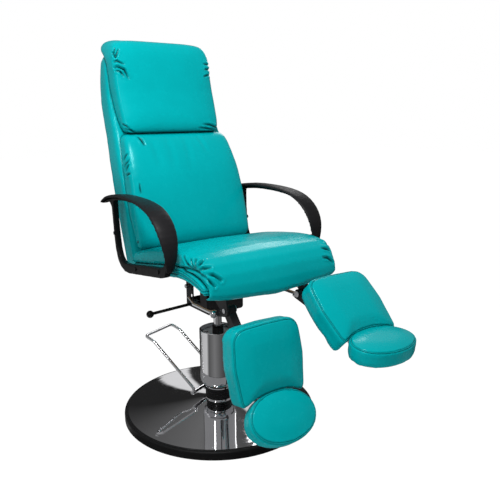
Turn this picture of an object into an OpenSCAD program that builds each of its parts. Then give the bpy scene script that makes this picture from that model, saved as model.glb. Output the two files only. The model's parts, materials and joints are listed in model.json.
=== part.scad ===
/* [Base] */
// Outer radius of the round base
base_r = 335; // [300:5:380]
// Height of the rubber edge ring
ring_h = 28; // [22:1:36]
// Width of the rubber edge ring
ring_w = 18; // [12:1:24]
// Thickness of the steel floor plate
floor_plate_t = 8; // [5:1:14]
// Height of the chrome dome where it meets the neck
dome_h = 51; // [45:1:60]
// Sheet thickness of the chrome dome
dome_t = 2.5; // [1.5:0.5:4]
// Radius of the ribbed neck collar
neck_r = 48; // [46:1:50]
// Height of the ribbed neck collar
neck_h = 50; // [40:1:60]

/* [Pump] */
// Radius of the chrome pump cover
cover_r = 65; // [62:1:68]
// Length of the chrome pump cover
cover_l = 206.6; // [190:0.2:230]
// Wall thickness of the chrome pump cover
cover_t = 2; // [1:0.5:3]
// Radius of the rounded bottom of the cover
cover_edge_r = 25; // [15:1:30]
// Radius of the pump body
pump_r = 36; // [30:1:38]
// Radius of the lifting ram
ram_r = 14.5; // [12:0.5:18]
// Length of the ram that shows with the seat at its lowest
ram_show = 62; // [50:1:80]
// Radial running clearance of the ram and of the pivots
running_fit = 0.05; // [0.02:0.01:0.08]

/* [Pedal] */
// Angle of the pedal round the column
pedal_yaw = 22; // [0:1:40]
// Diameter of the pedal bar
pedal_bar_d = 11; // [9:1:12]
// Distance of the pedal pivot behind the column's axis
pedal_pivot_y = 60; // [59:1:64]
// Height of the pedal pivot over the floor
pedal_pivot_z = 80; // [78:1:84]
// Half width of the pedal, to the middle of its bar
pedal_half_w = 74; // [70:1:84]
// Reach of the pedal's steep legs from the pivot
pedal_leg_y = 173; // [140:1:190]
// Rise of the pedal's steep legs from the pivot
pedal_leg_z = 157; // [130:1:180]
// Length of the pedal's flatter end
pedal_end_y = 40; // [30:1:50]
// Rise of the pedal's flatter end
pedal_end_z = 13; // [8:1:20]

/* [Mechanism] */
// Width of the tilt housing
housing_w = 148; // [130:2:170]
// Length of the tilt housing
housing_l = 133; // [120:1:150]
// Distance of the housing's front wall ahead of the column's axis
housing_front = 50; // [45:1:60]
// Sheet thickness of the housing and the brackets
sheet_t = 4; // [3:0.5:6]
// Height of the housing's low side walls
housing_wall_h = 30; // [26:1:36]
// Distance of the tilt pivot ahead of the column's axis
tilt_ahead = 25; // [20:1:32]
// Height of the tilt pivot over the housing's floor
tilt_rise = 107; // [100:1:120]
// Radius of the tilt pin
tilt_pin_r = 6; // [5:0.5:8]
// Tilt of the seat at rest, front up
seat_tilt = 9; // [6:1:11]
// Length of the tilt lock lever
tilt_lever_l = 159; // [120:1:180]
// Diameter of the lever's ball knob
tilt_knob_d = 25; // [20:1:32]

/* [Seat] */
// Width of the seat cushion
seat_w = 504; // [470:2:510]
// Length of the seat cushion
seat_l = 458; // [450:1:480]
// Height of the seat cushion at its front roll
seat_roll_h = 131; // [122:1:140]
// Height of the seat's upholstered underside over the tilt pivot
seat_base_w = 55; // [54:1:60]
// Thickness of the seat's upholstered band
band_t = 37; // [32:1:39]
// Thickness of the plywood seat board
board_t = 12; // [9:1:18]
// Crown of the seat cushion
seat_crown = 8; // [4:1:12]

/* [Back] */
// Width of the backrest
back_w = 464; // [440:2:480]
// Height of the backrest over the seat's underside
back_h = 797; // [760:1:830]
// Depth of the upholstered back shell
back_d = 101; // [85:1:110]
// Lean of the backrest's front line over its height
back_rake = 103; // [90:1:115]
// Height of the back cushion
back_cushion_h = 392; // [370:1:400]
// Depth of the back cushion
back_cushion_d = 55; // [45:1:70]
// Height of the head cushion
head_h = 326; // [300:1:335]
// Width of the head cushion
head_w = 384; // [370:2:410]
// Depth of the head cushion
head_d = 57; // [45:1:70]

/* [Armrests] */
// Distance of each armrest from the middle of the chair
arm_x = 270; // [266:1:280]
// Thickness of the armrest loop
arm_t = 20; // [16:1:22]
// Length of the armrest
arm_l = 511; // [460:1:540]
// Height of the armrest
arm_h = 261; // [240:1:280]
// Width of the soft top of the armrest
arm_pad_w = 52; // [46:1:58]
// Thickness of the soft top of the armrest
arm_pad_t = 9; // [7:1:12]
// Pitch of the armrests to the seat
arm_pitch = 9; // [7:1:11]
// Angle by which the armrests open towards the front
arm_yaw = 2; // [0:0.5:3]

/* [Legs] */
// Distance of each leg rest from the middle of the chair
leg_x = 137; // [132:1:145]
// Slope of the left leg rest under the horizontal
leg_drop_left = 79; // [60:1:84]
// Slope of the right leg rest under the horizontal
leg_drop_right = 43; // [20:1:80]
// Extension of the left leg rest at rest
leg_out_left = 0; // [0:1:40]
// Extension of the right leg rest at rest
leg_out_right = 20; // [10:1:50]
// Distance of the leg pivot ahead of the tilt pivot
leg_pivot_u = 252; // [246:1:258]
// Distance of the leg pivot below the tilt pivot
leg_pivot_w = 52; // [46:1:56]
// Width of the square tube of the leg arm
leg_tube_w = 26; // [22:1:30]
// Half width of the calf pad at its top
calf_half_top = 108; // [100:1:112]
// Half width of the calf pad at its bottom
calf_half_bottom = 103; // [94:1:110]
// Length of the calf pad
calf_l = 212; // [200:1:220]
// Thickness of the calf pad
calf_t = 65; // [55:1:70]
// Depth of the hollow in the calf pad's lower edge
calf_hollow = 28; // [24:1:32]
// Half width of the oval foot pad
foot_half_w = 107; // [98:1:110]
// Half length of the oval foot pad
foot_half_l = 68; // [58:1:70]
// Thickness of the foot pad
foot_t = 48; // [40:1:52]
// Tilt of the left foot pad to its calf pad
foot_tilt_left = 28; // [10:1:32]
// Tilt of the right foot pad to its calf pad
foot_tilt_right = 35; // [10:1:36]

/* [Hidden] */

// Overrun of every cut past the face that it opens
cut = 2;
// Gap between a soft form and what it lies on
soft_gap = 0.4;
// Facets of a full circle
$fn = 72;

// Heights up the column
neck_top = dome_h + neck_h;
cover_z = neck_top + soft_gap;
cover_top = cover_z + cover_l;
band_gap = 13;
housing_z = cover_top + ram_show + band_gap;
gland_h = 22;
gland_r = 22;
wiper_h = 6;
wiper_r = 19;
// Depth of the ram inside the pump
ram_in = 268;
ram_collar_r = 20;
ram_collar_h = 8;
washer_t = 3;
socket_r = 24;
socket_h = 56;
socket_cap_t = 6;

// Places of the tilt pivot and of the seat's parts, in the seat's own plane
tilt_z = housing_z + tilt_rise;
leg_u = -leg_pivot_u;
leg_w = -leg_pivot_w;

// Draws its children in the seat's plane, with the tilt pivot as origin
module at_seat() {
  translate([0, -tilt_ahead, tilt_z]) rotate([-seat_tilt, 0, 0]) children();
}

// Draws its children along a leg rest: +Y up the leg, +Z out of the pad
module at_leg(side) {
  drop = side < 0 ? leg_drop_left : leg_drop_right;
  at_seat() translate([side * leg_x, leg_u, leg_w]) rotate([drop + seat_tilt, 0, 0])
    children();
}

// Draws its children on the sliding part of a leg rest
module at_calf(side) {
  out = side < 0 ? leg_out_left : leg_out_right;
  at_leg(side) translate([0, -out, 0]) children();
}

// Draws its children in the plane of a foot pad, with its hinge as origin
module at_foot(side) {
  tilt = side < 0 ? foot_tilt_left : foot_tilt_right;
  at_calf(side) translate([0, -foot_hinge_s, foot_hinge_h]) rotate([-tilt, 0, 0])
    children();
}

// Extrudes a side view, drawn as depth and height, across the chair's width
module across(w) {
  rotate([90, 0, 90]) translate([0, 0, -w / 2]) linear_extrude(w) children();
}

// A round bar along X
module cross_bar(r, w) {
  rotate([0, 90, 0]) translate([0, 0, -w / 2]) cylinder(r = r, h = w);
}

// A point of a Catmull-Rom curve
function curve_point(a, b, c, d, t) =
  0.5 * (2 * b + (c - a) * t + (2 * a - 5 * b + 4 * c - d) * t * t
         + (3 * b - a - 3 * c + d) * t * t * t);

// A smooth open curve through the points, with n steps a span
function smooth(p, n) = [
  for (i = [0 : len(p) - 2], k = [0 : n - 1])
    curve_point(p[max(i - 1, 0)], p[i], p[i + 1], p[min(i + 2, len(p) - 1)], k / n),
  p[len(p) - 1]
];

// The curve moved sideways by d, to the right of its direction
function shifted(p, d) = [
  for (i = [0 : len(p) - 1])
    let (t = p[min(i + 1, len(p) - 1)] - p[max(i - 1, 0)])
      p[i] + d / norm(t) * [t[1], -t[0]]
];

// A signed power, for rounded squares
function spow(v, e) = sign(v) * pow(abs(v), e);

// The mean of a ring's points
function middle(ring) = [for (v = ring) 1] * ring / len(ring);

// A closed skin over rings of equal length, with a point at each end
module skin(rings, tip_a, tip_b) {
  n = len(rings[0]);
  m = len(rings);
  last = n * m + 1;
  polyhedron(
    points = concat([tip_a], [for (r = rings, v = r) v], [tip_b]),
    faces = concat(
      [for (i = [0 : n - 1]) [0, 1 + (i + 1) % n, 1 + i]],
      [for (j = [0 : m - 2], i = [0 : n - 1])
        let (a = 1 + j * n + i, b = 1 + j * n + (i + 1) % n) [a, b, b + n]],
      [for (j = [0 : m - 2], i = [0 : n - 1])
        let (a = 1 + j * n + i, b = 1 + j * n + (i + 1) % n) [a, b + n, a + n]],
      [for (i = [0 : n - 1]) [last, last - n + i, last - n + (i + 1) % n]]
    )
  );
}

// A closed skin over rings whose first and second halves run side by side, so that each end is
// closed straight across
module paired_skin(rings) {
  n = len(rings[0]);
  far = n * (len(rings) - 1);
  polyhedron(
    points = [for (r = rings, v = r) v],
    faces = concat(
      [for (i = [0 : n / 2 - 2]) [i + 1, i, n - 1 - i]],
      [for (i = [0 : n / 2 - 2]) [i + 1, n - 1 - i, n - 2 - i]],
      [for (j = [0 : len(rings) - 2], i = [0 : n - 1])
        let (a = j * n + i, b = j * n + (i + 1) % n) [a, b, b + n]],
      [for (j = [0 : len(rings) - 2], i = [0 : n - 1])
        let (a = j * n + i, b = j * n + (i + 1) % n) [a, b + n, a + n]],
      [for (i = [0 : n / 2 - 2]) [far + i, far + i + 1, far + n - 1 - i]],
      [for (i = [0 : n / 2 - 2]) [far + i + 1, far + n - 2 - i, far + n - 1 - i]]
    )
  );
}

// The base: floor plate, rubber ring and chrome dome

bolt_circle_r = 58;
bolt_r = 5;
flange_r = 70;
flange_t = 10;
dome_r = base_r - ring_w + 5;

module base_plate() color("dimgray") difference() {
  cylinder(r = base_r - ring_w, h = floor_plate_t);
  for (a = [45 : 90 : 315])
    rotate([0, 0, a]) translate([bolt_circle_r, 0, -cut])
      cylinder(r = bolt_r, h = floor_plate_t + 2 * cut);
}

ring_round = 6;
ring_foot = 2;

module base_ring() color([0.05, 0.05, 0.05]) rotate_extrude($fn = 120) {
  x = base_r - ring_w;
  polygon([
    [x, 0], [base_r - ring_foot, 0], [base_r, ring_foot],
    for (a = [0 : 15 : 90])
      [base_r - ring_round * (1 - cos(a)), ring_h - ring_round * (1 - sin(a))],
    [x, ring_h]
  ]);
}

// Height of the dome's sheet at a radius
function dome_z(r) =
  let (t = (dome_r - r) / (dome_r - neck_r)) ring_h + (dome_h - ring_h) * pow(t, dome_swell);
dome_swell = 1.15;
dome_steps = 14;

module base_dome() color("silver") rotate_extrude($fn = 120) {
  r_step = (dome_r - neck_r) / dome_steps;
  polygon(concat(
    [for (k = [0 : dome_steps]) [dome_r - k * r_step, dome_z(dome_r - k * r_step)]],
    [for (k = [dome_steps : -1 : 0])
      [dome_r - k * r_step, dome_z(dome_r - k * r_step) + dome_t]]
  ));
}

collar_rib = 2;
collar_ribs = 6;
collar_bore_r = pump_r + cut;

module neck_collar() color([0.07, 0.07, 0.07]) difference() {
  pitch = neck_h / collar_ribs;
  rotate_extrude() polygon(concat(
    [[collar_bore_r, dome_h + dome_t], [collar_bore_r, neck_top]],
    [for (k = [collar_ribs - 1 : -1 : 0]) each [
      [neck_r - collar_rib, max(dome_h + dome_t, dome_h + (k + 1) * pitch)],
      [neck_r, max(dome_h + dome_t, dome_h + (k + 0.8) * pitch)],
      [neck_r, max(dome_h + dome_t, dome_h + (k + 0.4) * pitch)],
      [neck_r - collar_rib, max(dome_h + dome_t, dome_h + (k + 0.2) * pitch)]
    ]]
  ));
}

collar_ring_h = 4;
collar_ring_w = 1.5;

module collar_rings() color("silver") for (z = [dome_h + dome_t, neck_top - collar_ring_h])
  difference() {
    translate([0, 0, z]) cylinder(r = neck_r + collar_ring_w, h = collar_ring_h);
    translate([0, 0, z - cut]) cylinder(r = neck_r, h = collar_ring_h + 2 * cut);
  }

// The hydraulic pump inside its chrome cover

pump_head_r = cover_r - cover_t - 3;
pump_head_t = 14;
pump_head_drop = 16;
pump_top = cover_top - pump_head_drop;
head_bolt_r = 4;
head_bolt_circle = 42;

module pump_body() color([0.25, 0.25, 0.26]) difference() {
  union() {
    translate([0, 0, floor_plate_t]) cylinder(r = pump_r, h = pump_top - floor_plate_t);
    translate([0, 0, floor_plate_t]) cylinder(r = flange_r, h = flange_t);
    translate([0, 0, pump_top - pump_head_t]) cylinder(r = pump_head_r, h = pump_head_t);
  }
  translate([0, 0, floor_plate_t + flange_t])
    cylinder(r = ram_r + running_fit, h = cover_top);
  for (a = [45 : 90 : 315])
    rotate([0, 0, a]) translate([bolt_circle_r, 0, floor_plate_t - cut])
      cylinder(r = bolt_r, h = flange_t + 2 * cut);
}

module pump_cover() color([0.85, 0.85, 0.87]) {
  inner_r = cover_r - cover_t;
  edge_in = cover_edge_r - cover_t;
  foot_r = cover_r - cover_edge_r;
  rotate_extrude($fn = 96) polygon(concat(
    [for (a = [0 : 10 : 90])
      [foot_r + cover_edge_r * sin(a), cover_z + cover_edge_r * (1 - cos(a))]],
    [[cover_r, cover_top], [inner_r, cover_top]],
    [for (a = [90 : -10 : 0])
      [foot_r + edge_in * sin(a), cover_z + cover_t + edge_in * (1 - cos(a))]]
  ));
}

module pump_gland() color([0.12, 0.12, 0.12]) difference() {
  translate([0, 0, pump_top]) cylinder(r = gland_r, h = gland_h, $fn = 6);
  translate([0, 0, pump_top - cut]) cylinder(r = ram_r + running_fit, h = gland_h + 2 * cut);
}

module ram_wiper() color([0.03, 0.03, 0.03]) difference() {
  translate([0, 0, pump_top + gland_h]) cylinder(r = wiper_r, h = wiper_h);
  translate([0, 0, pump_top + gland_h - cut])
    cylinder(r = ram_r + running_fit, h = wiper_h + 2 * cut);
}

bolt_head_r = 8;
bolt_head_t = 6;
head_bolt_head_r = 6.5;

module pump_bolts() color([0.35, 0.35, 0.36]) {
  for (a = [45 : 90 : 315]) rotate([0, 0, a]) {
    translate([bolt_circle_r, 0, 0]) cylinder(r = bolt_r, h = floor_plate_t + flange_t);
    translate([bolt_circle_r, 0, floor_plate_t + flange_t])
      cylinder(r = bolt_head_r, h = bolt_head_t, $fn = 6);
    translate([head_bolt_circle, 0, pump_top])
      cylinder(r = head_bolt_head_r, h = bolt_head_t, $fn = 6);
  }
}

// The foot pedal that works the pump

hub_r = 6.5;
pedal_pin_r = 4;
pedal_pin_l = 132;
lug_w = 20;
lug_round = 9;
root_in = 7;
root_up = 13;
pedal_bend_r = 13;
bend_steps = 4;
bar_sides = 12;
pedal_eye_r = 8;
pedal_eye_w = pedal_bar_d + 1;
slide_fit = 0.5;

module at_pedal() {
  rotate([0, 0, pedal_yaw]) translate([0, pedal_pivot_y, pedal_pivot_z]) children();
}

module pedal_bracket() color([0.1, 0.1, 0.1]) at_pedal() difference() {
  union() {
    cross_bar(lug_round, lug_w);
    translate([-lug_w / 2, -pedal_pivot_y, -hub_r]) cube([lug_w, pedal_pivot_y, 2 * hub_r]);
  }
  translate([0, -pedal_pivot_y, -neck_h / 2]) cylinder(r = neck_r, h = neck_h);
  cross_bar(pedal_pin_r, lug_w + cut);
}

module pedal_pin() color("silver") at_pedal() cross_bar(pedal_pin_r, pedal_pin_l);

module pedal_hub() color([0.75, 0.75, 0.77]) at_pedal() {
  from = lug_w / 2 + slide_fit;
  to = pedal_half_w - pedal_eye_w / 2;
  for (side = [-1, 1]) difference() {
    translate([side * (from + to) / 2, 0, 0]) cross_bar(hub_r, to - from);
    translate([side * (from + pedal_pin_l / 2) / 2, 0, 0])
      cross_bar(pedal_pin_r + running_fit, pedal_pin_l / 2 - from + cut);
  }
}

function unit(v) = v / norm(v);

// Points of a round bend of radius r at the corner b, on the way from a to c
function bend(a, b, c, r) =
  let (
    u = unit(b - a),
    v = unit(c - b),
    turn = acos(u * v),
    side = unit(v - (u * v) * u),
    hub = b - u * r * tan(turn / 2) + side * r
  )
    [for (k = [0 : bend_steps]) let (f = turn * k / bend_steps) hub + r * (u * sin(f) - side * cos(f))];

// Rings of points round a path, for a bar of diameter d
function bar_rings(path, d) =
  let (
    m = len(path) - 1,
    way = [for (i = [0 : m]) unit(path[min(i + 1, m)] - path[max(i - 1, 0)])],
    up = [
      for (i = 0, v = [1, 0, 0]; i <= m; i = i + 1, v = unit(v - (v * way[min(i, m)]) * way[min(i, m)])) v
    ]
  )
    [for (i = [0 : m]) let (e = cross(up[i], way[i]))
      [for (k = [0 : bar_sides - 1]) let (a = 360 * k / bar_sides)
        path[i] + d / 2 * (cos(a) * up[i] + sin(a) * e)]];

module pedal_bar() color([0.85, 0.85, 0.87]) at_pedal() {
  end_y = pedal_leg_y + pedal_end_y;
  end_z = pedal_leg_z + pedal_end_z;
  corners = [
    [-pedal_half_w, 0, 0],
    [-pedal_half_w, -root_in, root_up],
    [-pedal_half_w, pedal_leg_y, pedal_leg_z],
    [-pedal_half_w, end_y, end_z],
    [pedal_half_w, end_y, end_z],
    [pedal_half_w, pedal_leg_y, pedal_leg_z],
    [pedal_half_w, -root_in, root_up],
    [pedal_half_w, 0, 0]
  ];
  n = len(corners) - 1;
  path = concat(
    [corners[0]],
    [for (i = [1 : n - 1]) each bend(corners[i - 1], corners[i], corners[i + 1], pedal_bend_r)],
    [corners[n]]
  );
  skin(bar_rings(path, pedal_bar_d), path[0], path[len(path) - 1]);
  for (side = [-1, 1]) translate([side * pedal_half_w, 0, 0]) cross_bar(pedal_eye_r, pedal_eye_w);
}

// The ram and its thrust washer

module ram() color([0.8, 0.8, 0.82]) {
  bottom = cover_top - ram_in;
  translate([0, 0, bottom]) cylinder(r = ram_r, h = housing_z + socket_h - socket_cap_t - cut - bottom);
  translate([0, 0, housing_z - washer_t - ram_collar_h]) cylinder(r = ram_collar_r, h = ram_collar_h);
}

module thrust_washer() color([0.6, 0.5, 0.3]) difference() {
  translate([0, 0, housing_z - washer_t]) cylinder(r = ram_collar_r + 2, h = washer_t);
  translate([0, 0, housing_z - washer_t - cut]) cylinder(r = ram_r, h = washer_t + 2 * cut);
}

// The tilt housing that swivels on the ram

housing_round = 10;
upright_w = 44;
front_wall_h = 58;
lock_u = 84;
lock_w = -13;
lock_bolt_r = 4;
lock_arc_r = norm([lock_u, lock_w]);
lock_angle = atan2(lock_w, lock_u) - seat_tilt;
tilt_back = 6;
tilt_forward = 9;
slot_spare = 3;
pivot_boss_r = 16;
slot_in = 60;
lever_y = 50;
lever_z = 17;
lever_slot_h = 44;
lever_slot_w = 13;

// A plate outline with its two lower corners rounded
module tray_outline(w, h, r) {
  translate([r - w / 2, 0]) square([w - 2 * r, h]);
  translate([-w / 2, r]) square([w, h - r]);
  for (side = [-1, 1]) translate([side * (w / 2 - r), r]) circle(r);
}

// One side wall of the housing, as depth and height from the column's axis
module cheek_outline() {
  rear = housing_l - housing_front;
  difference() {
    union() {
      translate([-housing_front, housing_round]) square([housing_l, housing_wall_h - housing_round]);
      translate([-housing_front, housing_round]) square([housing_front - tilt_ahead + pivot_boss_r, tilt_rise - housing_round]);
      translate([-tilt_ahead, tilt_rise]) circle(pivot_boss_r);
      translate([rear - upright_w, housing_round]) square([upright_w, tilt_rise - housing_round - upright_drop]);
    }
    translate([-tilt_ahead, tilt_rise]) circle(tilt_pin_r);
    translate([-housing_front - cut, tilt_rise])
      square([housing_front - tilt_ahead + cut - pivot_boss_r, pivot_boss_r]);
  }
}
upright_drop = 2;

// The curved slot that the lock bolt runs in
module lock_slot(w) {
  from = lock_angle - tilt_back - slot_spare;
  span = tilt_back + tilt_forward + 2 * slot_spare;
  rotate([90, 0, 90]) translate([-tilt_ahead, tilt_rise, -w / 2]) rotate([0, 0, from])
    rotate_extrude(angle = span)
      translate([lock_arc_r - lock_bolt_r - slot_fit, 0]) square([2 * (lock_bolt_r + slot_fit), w]);
}
slot_fit = 0.4;

module tilt_housing() color([0.06, 0.06, 0.06]) translate([0, 0, housing_z]) {
  difference() {
    union() {
      difference() {
        translate([0, housing_l - housing_front, 0]) rotate([90, 0, 0]) linear_extrude(housing_l)
          tray_outline(housing_w, housing_wall_h, housing_round);
        translate([0, housing_l - housing_front - sheet_t, sheet_t]) rotate([90, 0, 0])
          linear_extrude(housing_l - 2 * sheet_t)
            tray_outline(housing_w - 2 * sheet_t, housing_wall_h, housing_round - sheet_t);
        translate([0, 0, -cut]) cylinder(r = socket_r, h = sheet_t + 2 * cut);
      }
      for (side = [-1, 1]) translate([side * (housing_w - sheet_t) / 2, 0, 0])
        across(sheet_t) cheek_outline();
      translate([0, sheet_t - housing_front, 0]) rotate([90, 0, 0]) linear_extrude(sheet_t)
        tray_outline(housing_w, front_wall_h, housing_round);
    }
    lock_slot(2 * housing_w);
    translate([-housing_w, lever_y - lever_slot_w / 2, lever_z - lever_slot_h / 2 + lever_slot_w])
      cube([housing_w / 2 + lever_slot_w, lever_slot_w, lever_slot_h]);
  }
  for (y = [lever_y - lever_hub_l / 2 - sheet_t - cut / 4, lever_y + lever_hub_l / 2 + cut / 4])
    translate([lever_hub_x - lever_hub_r, y, sheet_t]) difference() {
      cube([2 * lever_hub_r, sheet_t, lever_z + lever_hub_r - sheet_t]);
      translate([lever_hub_r, -cut, lever_z - sheet_t]) rotate([-90, 0, 0])
        cylinder(r = lever_pin_r, h = sheet_t + 2 * cut);
    }
}
lever_hub_x = -52;
lever_hub_r = 8;
lever_hub_l = 12;
lever_pin_r = 3;
lever_rod_r = 5.2;
lever_droop = 2;

module swivel_socket() color([0.15, 0.15, 0.15]) difference() {
  translate([0, 0, housing_z]) cylinder(r = socket_r, h = socket_h);
  translate([0, 0, housing_z - cut])
    cylinder(r = ram_r + running_fit, h = socket_h - socket_cap_t + cut);
}

module tilt_pin() color("silver") translate([0, -tilt_ahead, tilt_z])
  cross_bar(tilt_pin_r, housing_w + 6 * sheet_t);

module lever_pin() color("silver") translate([lever_hub_x, lever_y, housing_z + lever_z])
  rotate([90, 0, 0]) translate([0, 0, -lever_pin_l / 2]) cylinder(r = lever_pin_r, h = lever_pin_l);
lever_pin_l = lever_hub_l + 2 * sheet_t + 4;

module at_lever() {
  translate([lever_hub_x, lever_y, housing_z + lever_z]) rotate([0, -lever_droop, 0]) children();
}

module tilt_lever() color([0.05, 0.05, 0.05]) at_lever() difference() {
  union() {
    rotate([90, 0, 0]) translate([0, 0, -lever_hub_l / 2]) cylinder(r = lever_hub_r, h = lever_hub_l);
    rotate([0, -90, 0]) cylinder(r = lever_rod_r, h = lever_reach);
  }
  rotate([90, 0, 0]) translate([0, 0, -lever_hub_l]) cylinder(r = lever_pin_r + running_fit, h = 2 * lever_hub_l);
}
lever_reach = tilt_lever_l + housing_w / 2 + lever_hub_x - tilt_knob_d / 3;

module tilt_knob() color([0.03, 0.03, 0.03]) at_lever() difference() {
  translate([-tilt_lever_l - housing_w / 2 - lever_hub_x, 0, 0]) sphere(d = tilt_knob_d);
  rotate([0, -90, 0]) cylinder(r = lever_rod_r, h = lever_reach);
}

// The seat: bracket, board, upholstered band and cushion

bracket_w = housing_w + 2 * sheet_t + 1;
bracket_front = 42;
bracket_rear = 112;
ear_half = 17;
ear_drop = 16;

module seat_bracket() color([0.06, 0.06, 0.06]) at_seat() {
  top = seat_base_w;
  translate([-bracket_w / 2 - bracket_front / 2, -bracket_front, top - sheet_t])
    cube([bracket_w + bracket_front, bracket_front + bracket_rear, sheet_t]);
  for (side = [-1, 1]) translate([side * (bracket_w - sheet_t) / 2, 0, 0]) across(sheet_t)
    difference() {
      union() {
        translate([-ear_half, 0]) square([2 * ear_half, top - sheet_t]);
        circle(ear_half);
        translate([lock_u - ear_half, lock_w]) square([2 * ear_half, top - sheet_t - lock_w]);
        translate([lock_u, lock_w]) circle(ear_half);
      }
      circle(tilt_pin_r + running_fit);
      translate([lock_u, lock_w]) circle(lock_bolt_r);
    }
}

module tilt_lock_bolt() color([0.2, 0.2, 0.2]) at_seat() translate([0, lock_u, lock_w]) {
  cross_bar(lock_bolt_r, bracket_w + 2 * lock_head_t);
  for (side = [-1, 1]) translate([side * (bracket_w + lock_head_t) / 2, 0, 0])
    cross_bar(lock_head_r, lock_head_t);
}
lock_head_t = 14;
lock_head_r = 7;

pocket_fit = 0.3;
seat_board_w = 450;
board_rear = 137;
board_l = 325;

module seat_board() color([0.62, 0.45, 0.27]) at_seat()
  translate([-seat_board_w / 2, board_rear - board_l, seat_base_w])
    cube([seat_board_w, board_l, board_t]);

// A point of the seat's side view from its shares of the seat's length and roll height
function seat_point(s) = [board_rear + seat_rear - s[0] * seat_l, seat_base_w + (s[1] - 0.42) * seat_roll_h];
seat_rear = 0.5;

// Upholstered band: share of the seat's length, then its lower and upper edges
band_shares = [
  [0, 0.42, 0.70], [0.12, 0.42, 0.70], [0.31, 0.42, 0.70], [0.53, 0.42, 0.70], [0.643, 0.415, 0.692],
  [0.718, 0.385, 0.662], [0.774, 0.336, 0.610], [0.831, 0.276, 0.537], [0.878, 0.216, 0.455],
  [0.925, 0.145, 0.345], [0.962, 0.06, 0.235]
];

module seat_shell() color([0, 0.6, 0.62]) at_seat() difference() {
  across(seat_w - 2 * band_inset) polygon(concat(
    [for (s = band_shares) seat_point([s[0], s[1]])],
    [for (i = [len(band_shares) - 1 : -1 : 0]) seat_point([band_shares[i][0], band_shares[i][2]])]
  ));
  translate([-seat_board_w / 2 - pocket_fit, board_rear - board_l - pocket_fit, seat_base_w - under_lip])
    cube([seat_board_w + 2 * pocket_fit, board_l + seat_l, board_t + under_lip + pocket_fit]);
}
band_inset = 3;
under_lip = 8;

// Seat cushion: length and height shares of its top, its crown, then its sag in the middle
seat_top_shares = [
  [0.005, 0.86, 0, 0], [0.02, 0.94, 0, 0], [0.06, 0.985, 0.1, 0], [0.15, 1.005, 0.4, 0],
  [0.34, 1.04, 0.8, 0], [0.48, 1.04, 0.9, 0], [0.624, 1.02, 0.9, 0], [0.737, 0.98, 0.8, 0],
  [0.831, 0.915, 0.6, 0], [0.906, 0.82, 0.4, 0], [0.958, 0.68, 0.1, 0], [0.99, 0.46, 0, 0],
  [1, 0.24, 0, 0.4], [0.995, 0.08, 0, 0.9], [0.962, -0.01, 0, 1]
];
// Seat cushion: length and height shares of its underside, then its sag
seat_under_shares = [
  [0.005, 0.705, 0], [0.06, 0.705, 0], [0.15, 0.705, 0], [0.31, 0.705, 0], [0.43, 0.705, 0],
  [0.53, 0.705, 0], [0.643, 0.697, 0], [0.718, 0.667, 0], [0.774, 0.615, 0], [0.831, 0.542, 0],
  [0.878, 0.460, 0], [0.925, 0.350, 0], [0.974, 0.215, 0], [0.974, 0.045, 0], [0.925, 0, 0.8]
];
seat_stations = 18;
seat_side_power = 12;
seat_corner = 16;
seat_sag = 25;
seat_draw = 3;
seat_end_angle = 87;

module seat_cushion() color([0, 0.68, 0.69]) at_seat() {
  n = len(seat_top_shares) - 1;
  halves = [for (i = [0 : n]) let (f = seat_top_shares[i][0])
    seat_w / 2 - seat_corner * pow(f, 8) - seat_draw * sin(180 * f)];
  rings = [
    for (j = [0 : seat_stations])
      let (
        a = (2 * j / seat_stations - 1) * seat_end_angle,
        t = spow(sin(a), 2 / seat_side_power),
        k = pow(cos(a), 2 / seat_side_power),
        hump = 1 - t * t,
        top = [for (s = seat_top_shares)
          seat_point(s) + [0, hump * (seat_crown * s[2] - seat_sag * s[3])]],
        under = [for (s = seat_under_shares)
          seat_point(s) + [0, soft_gap - hump * seat_sag * s[2]]]
      )
        concat(
          [for (i = [0 : n]) let (p = under[i] + (top[i] - under[i]) * k) [halves[i] * t, p[0], p[1]]],
          [for (i = [n : -1 : 0]) [halves[i] * t, under[i][0], under[i][1]]]
        )
  ];
  paired_skin(rings);
}

// Bolts of the seat bracket and of the leg hangers
fixing_r = 3;
fixing_head_r = 6.5;
fixing_head_t = 4;
bracket_bolt_u = [-28, 98];
bracket_bolt_x = 86;
hanger_bolt_u = [-172, -142];

module seat_fixings() color([0.3, 0.3, 0.3]) at_seat() {
  spots = concat(
    [for (x = [-1, 1], u = bracket_bolt_u) [x * bracket_bolt_x, u, seat_base_w - sheet_t]],
    [for (x = [-1, 1], u = hanger_bolt_u) [x * (leg_x + 2), u, seat_base_w - sheet_t]]
  );
  for (p = spots) translate([p[0], p[1], p[2] - fixing_head_t]) {
    cylinder(r = fixing_head_r, h = fixing_head_t, $fn = 6);
  }
}

// The back: steel brackets, board, upholstered shell and two cushions

back_board_t = 6;
bracket_bar_w = 40;
bracket_bar_x = 70;
bracket_up = 74;
bar_up_t = 2.5;
back_u = board_rear + seat_rear + bar_up_t + 2 * soft_gap + back_board_t;

// The backrest's front line: depth at a height, both over the seat's underside
rake_shares = [
  [0, 0], [0.131, 0.141], [0.266, 0.262], [0.41, 0.421], [0.52, 0.655], [0.64, 0.906],
  [0.76, 1.055], [0.90, 1.093], [1, 1.055]
];
function rake_line() = smooth([for (s = rake_shares) [s[1] * back_rake + back_u, s[0] * back_h + back_w0]], 3);
back_w0 = seat_base_w - 6;

// Depth of the front line at a height, read between the line's points
function rake_u(w) = lookup(w, [for (p = rake_line()) [p[1], p[0]]]);

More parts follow.
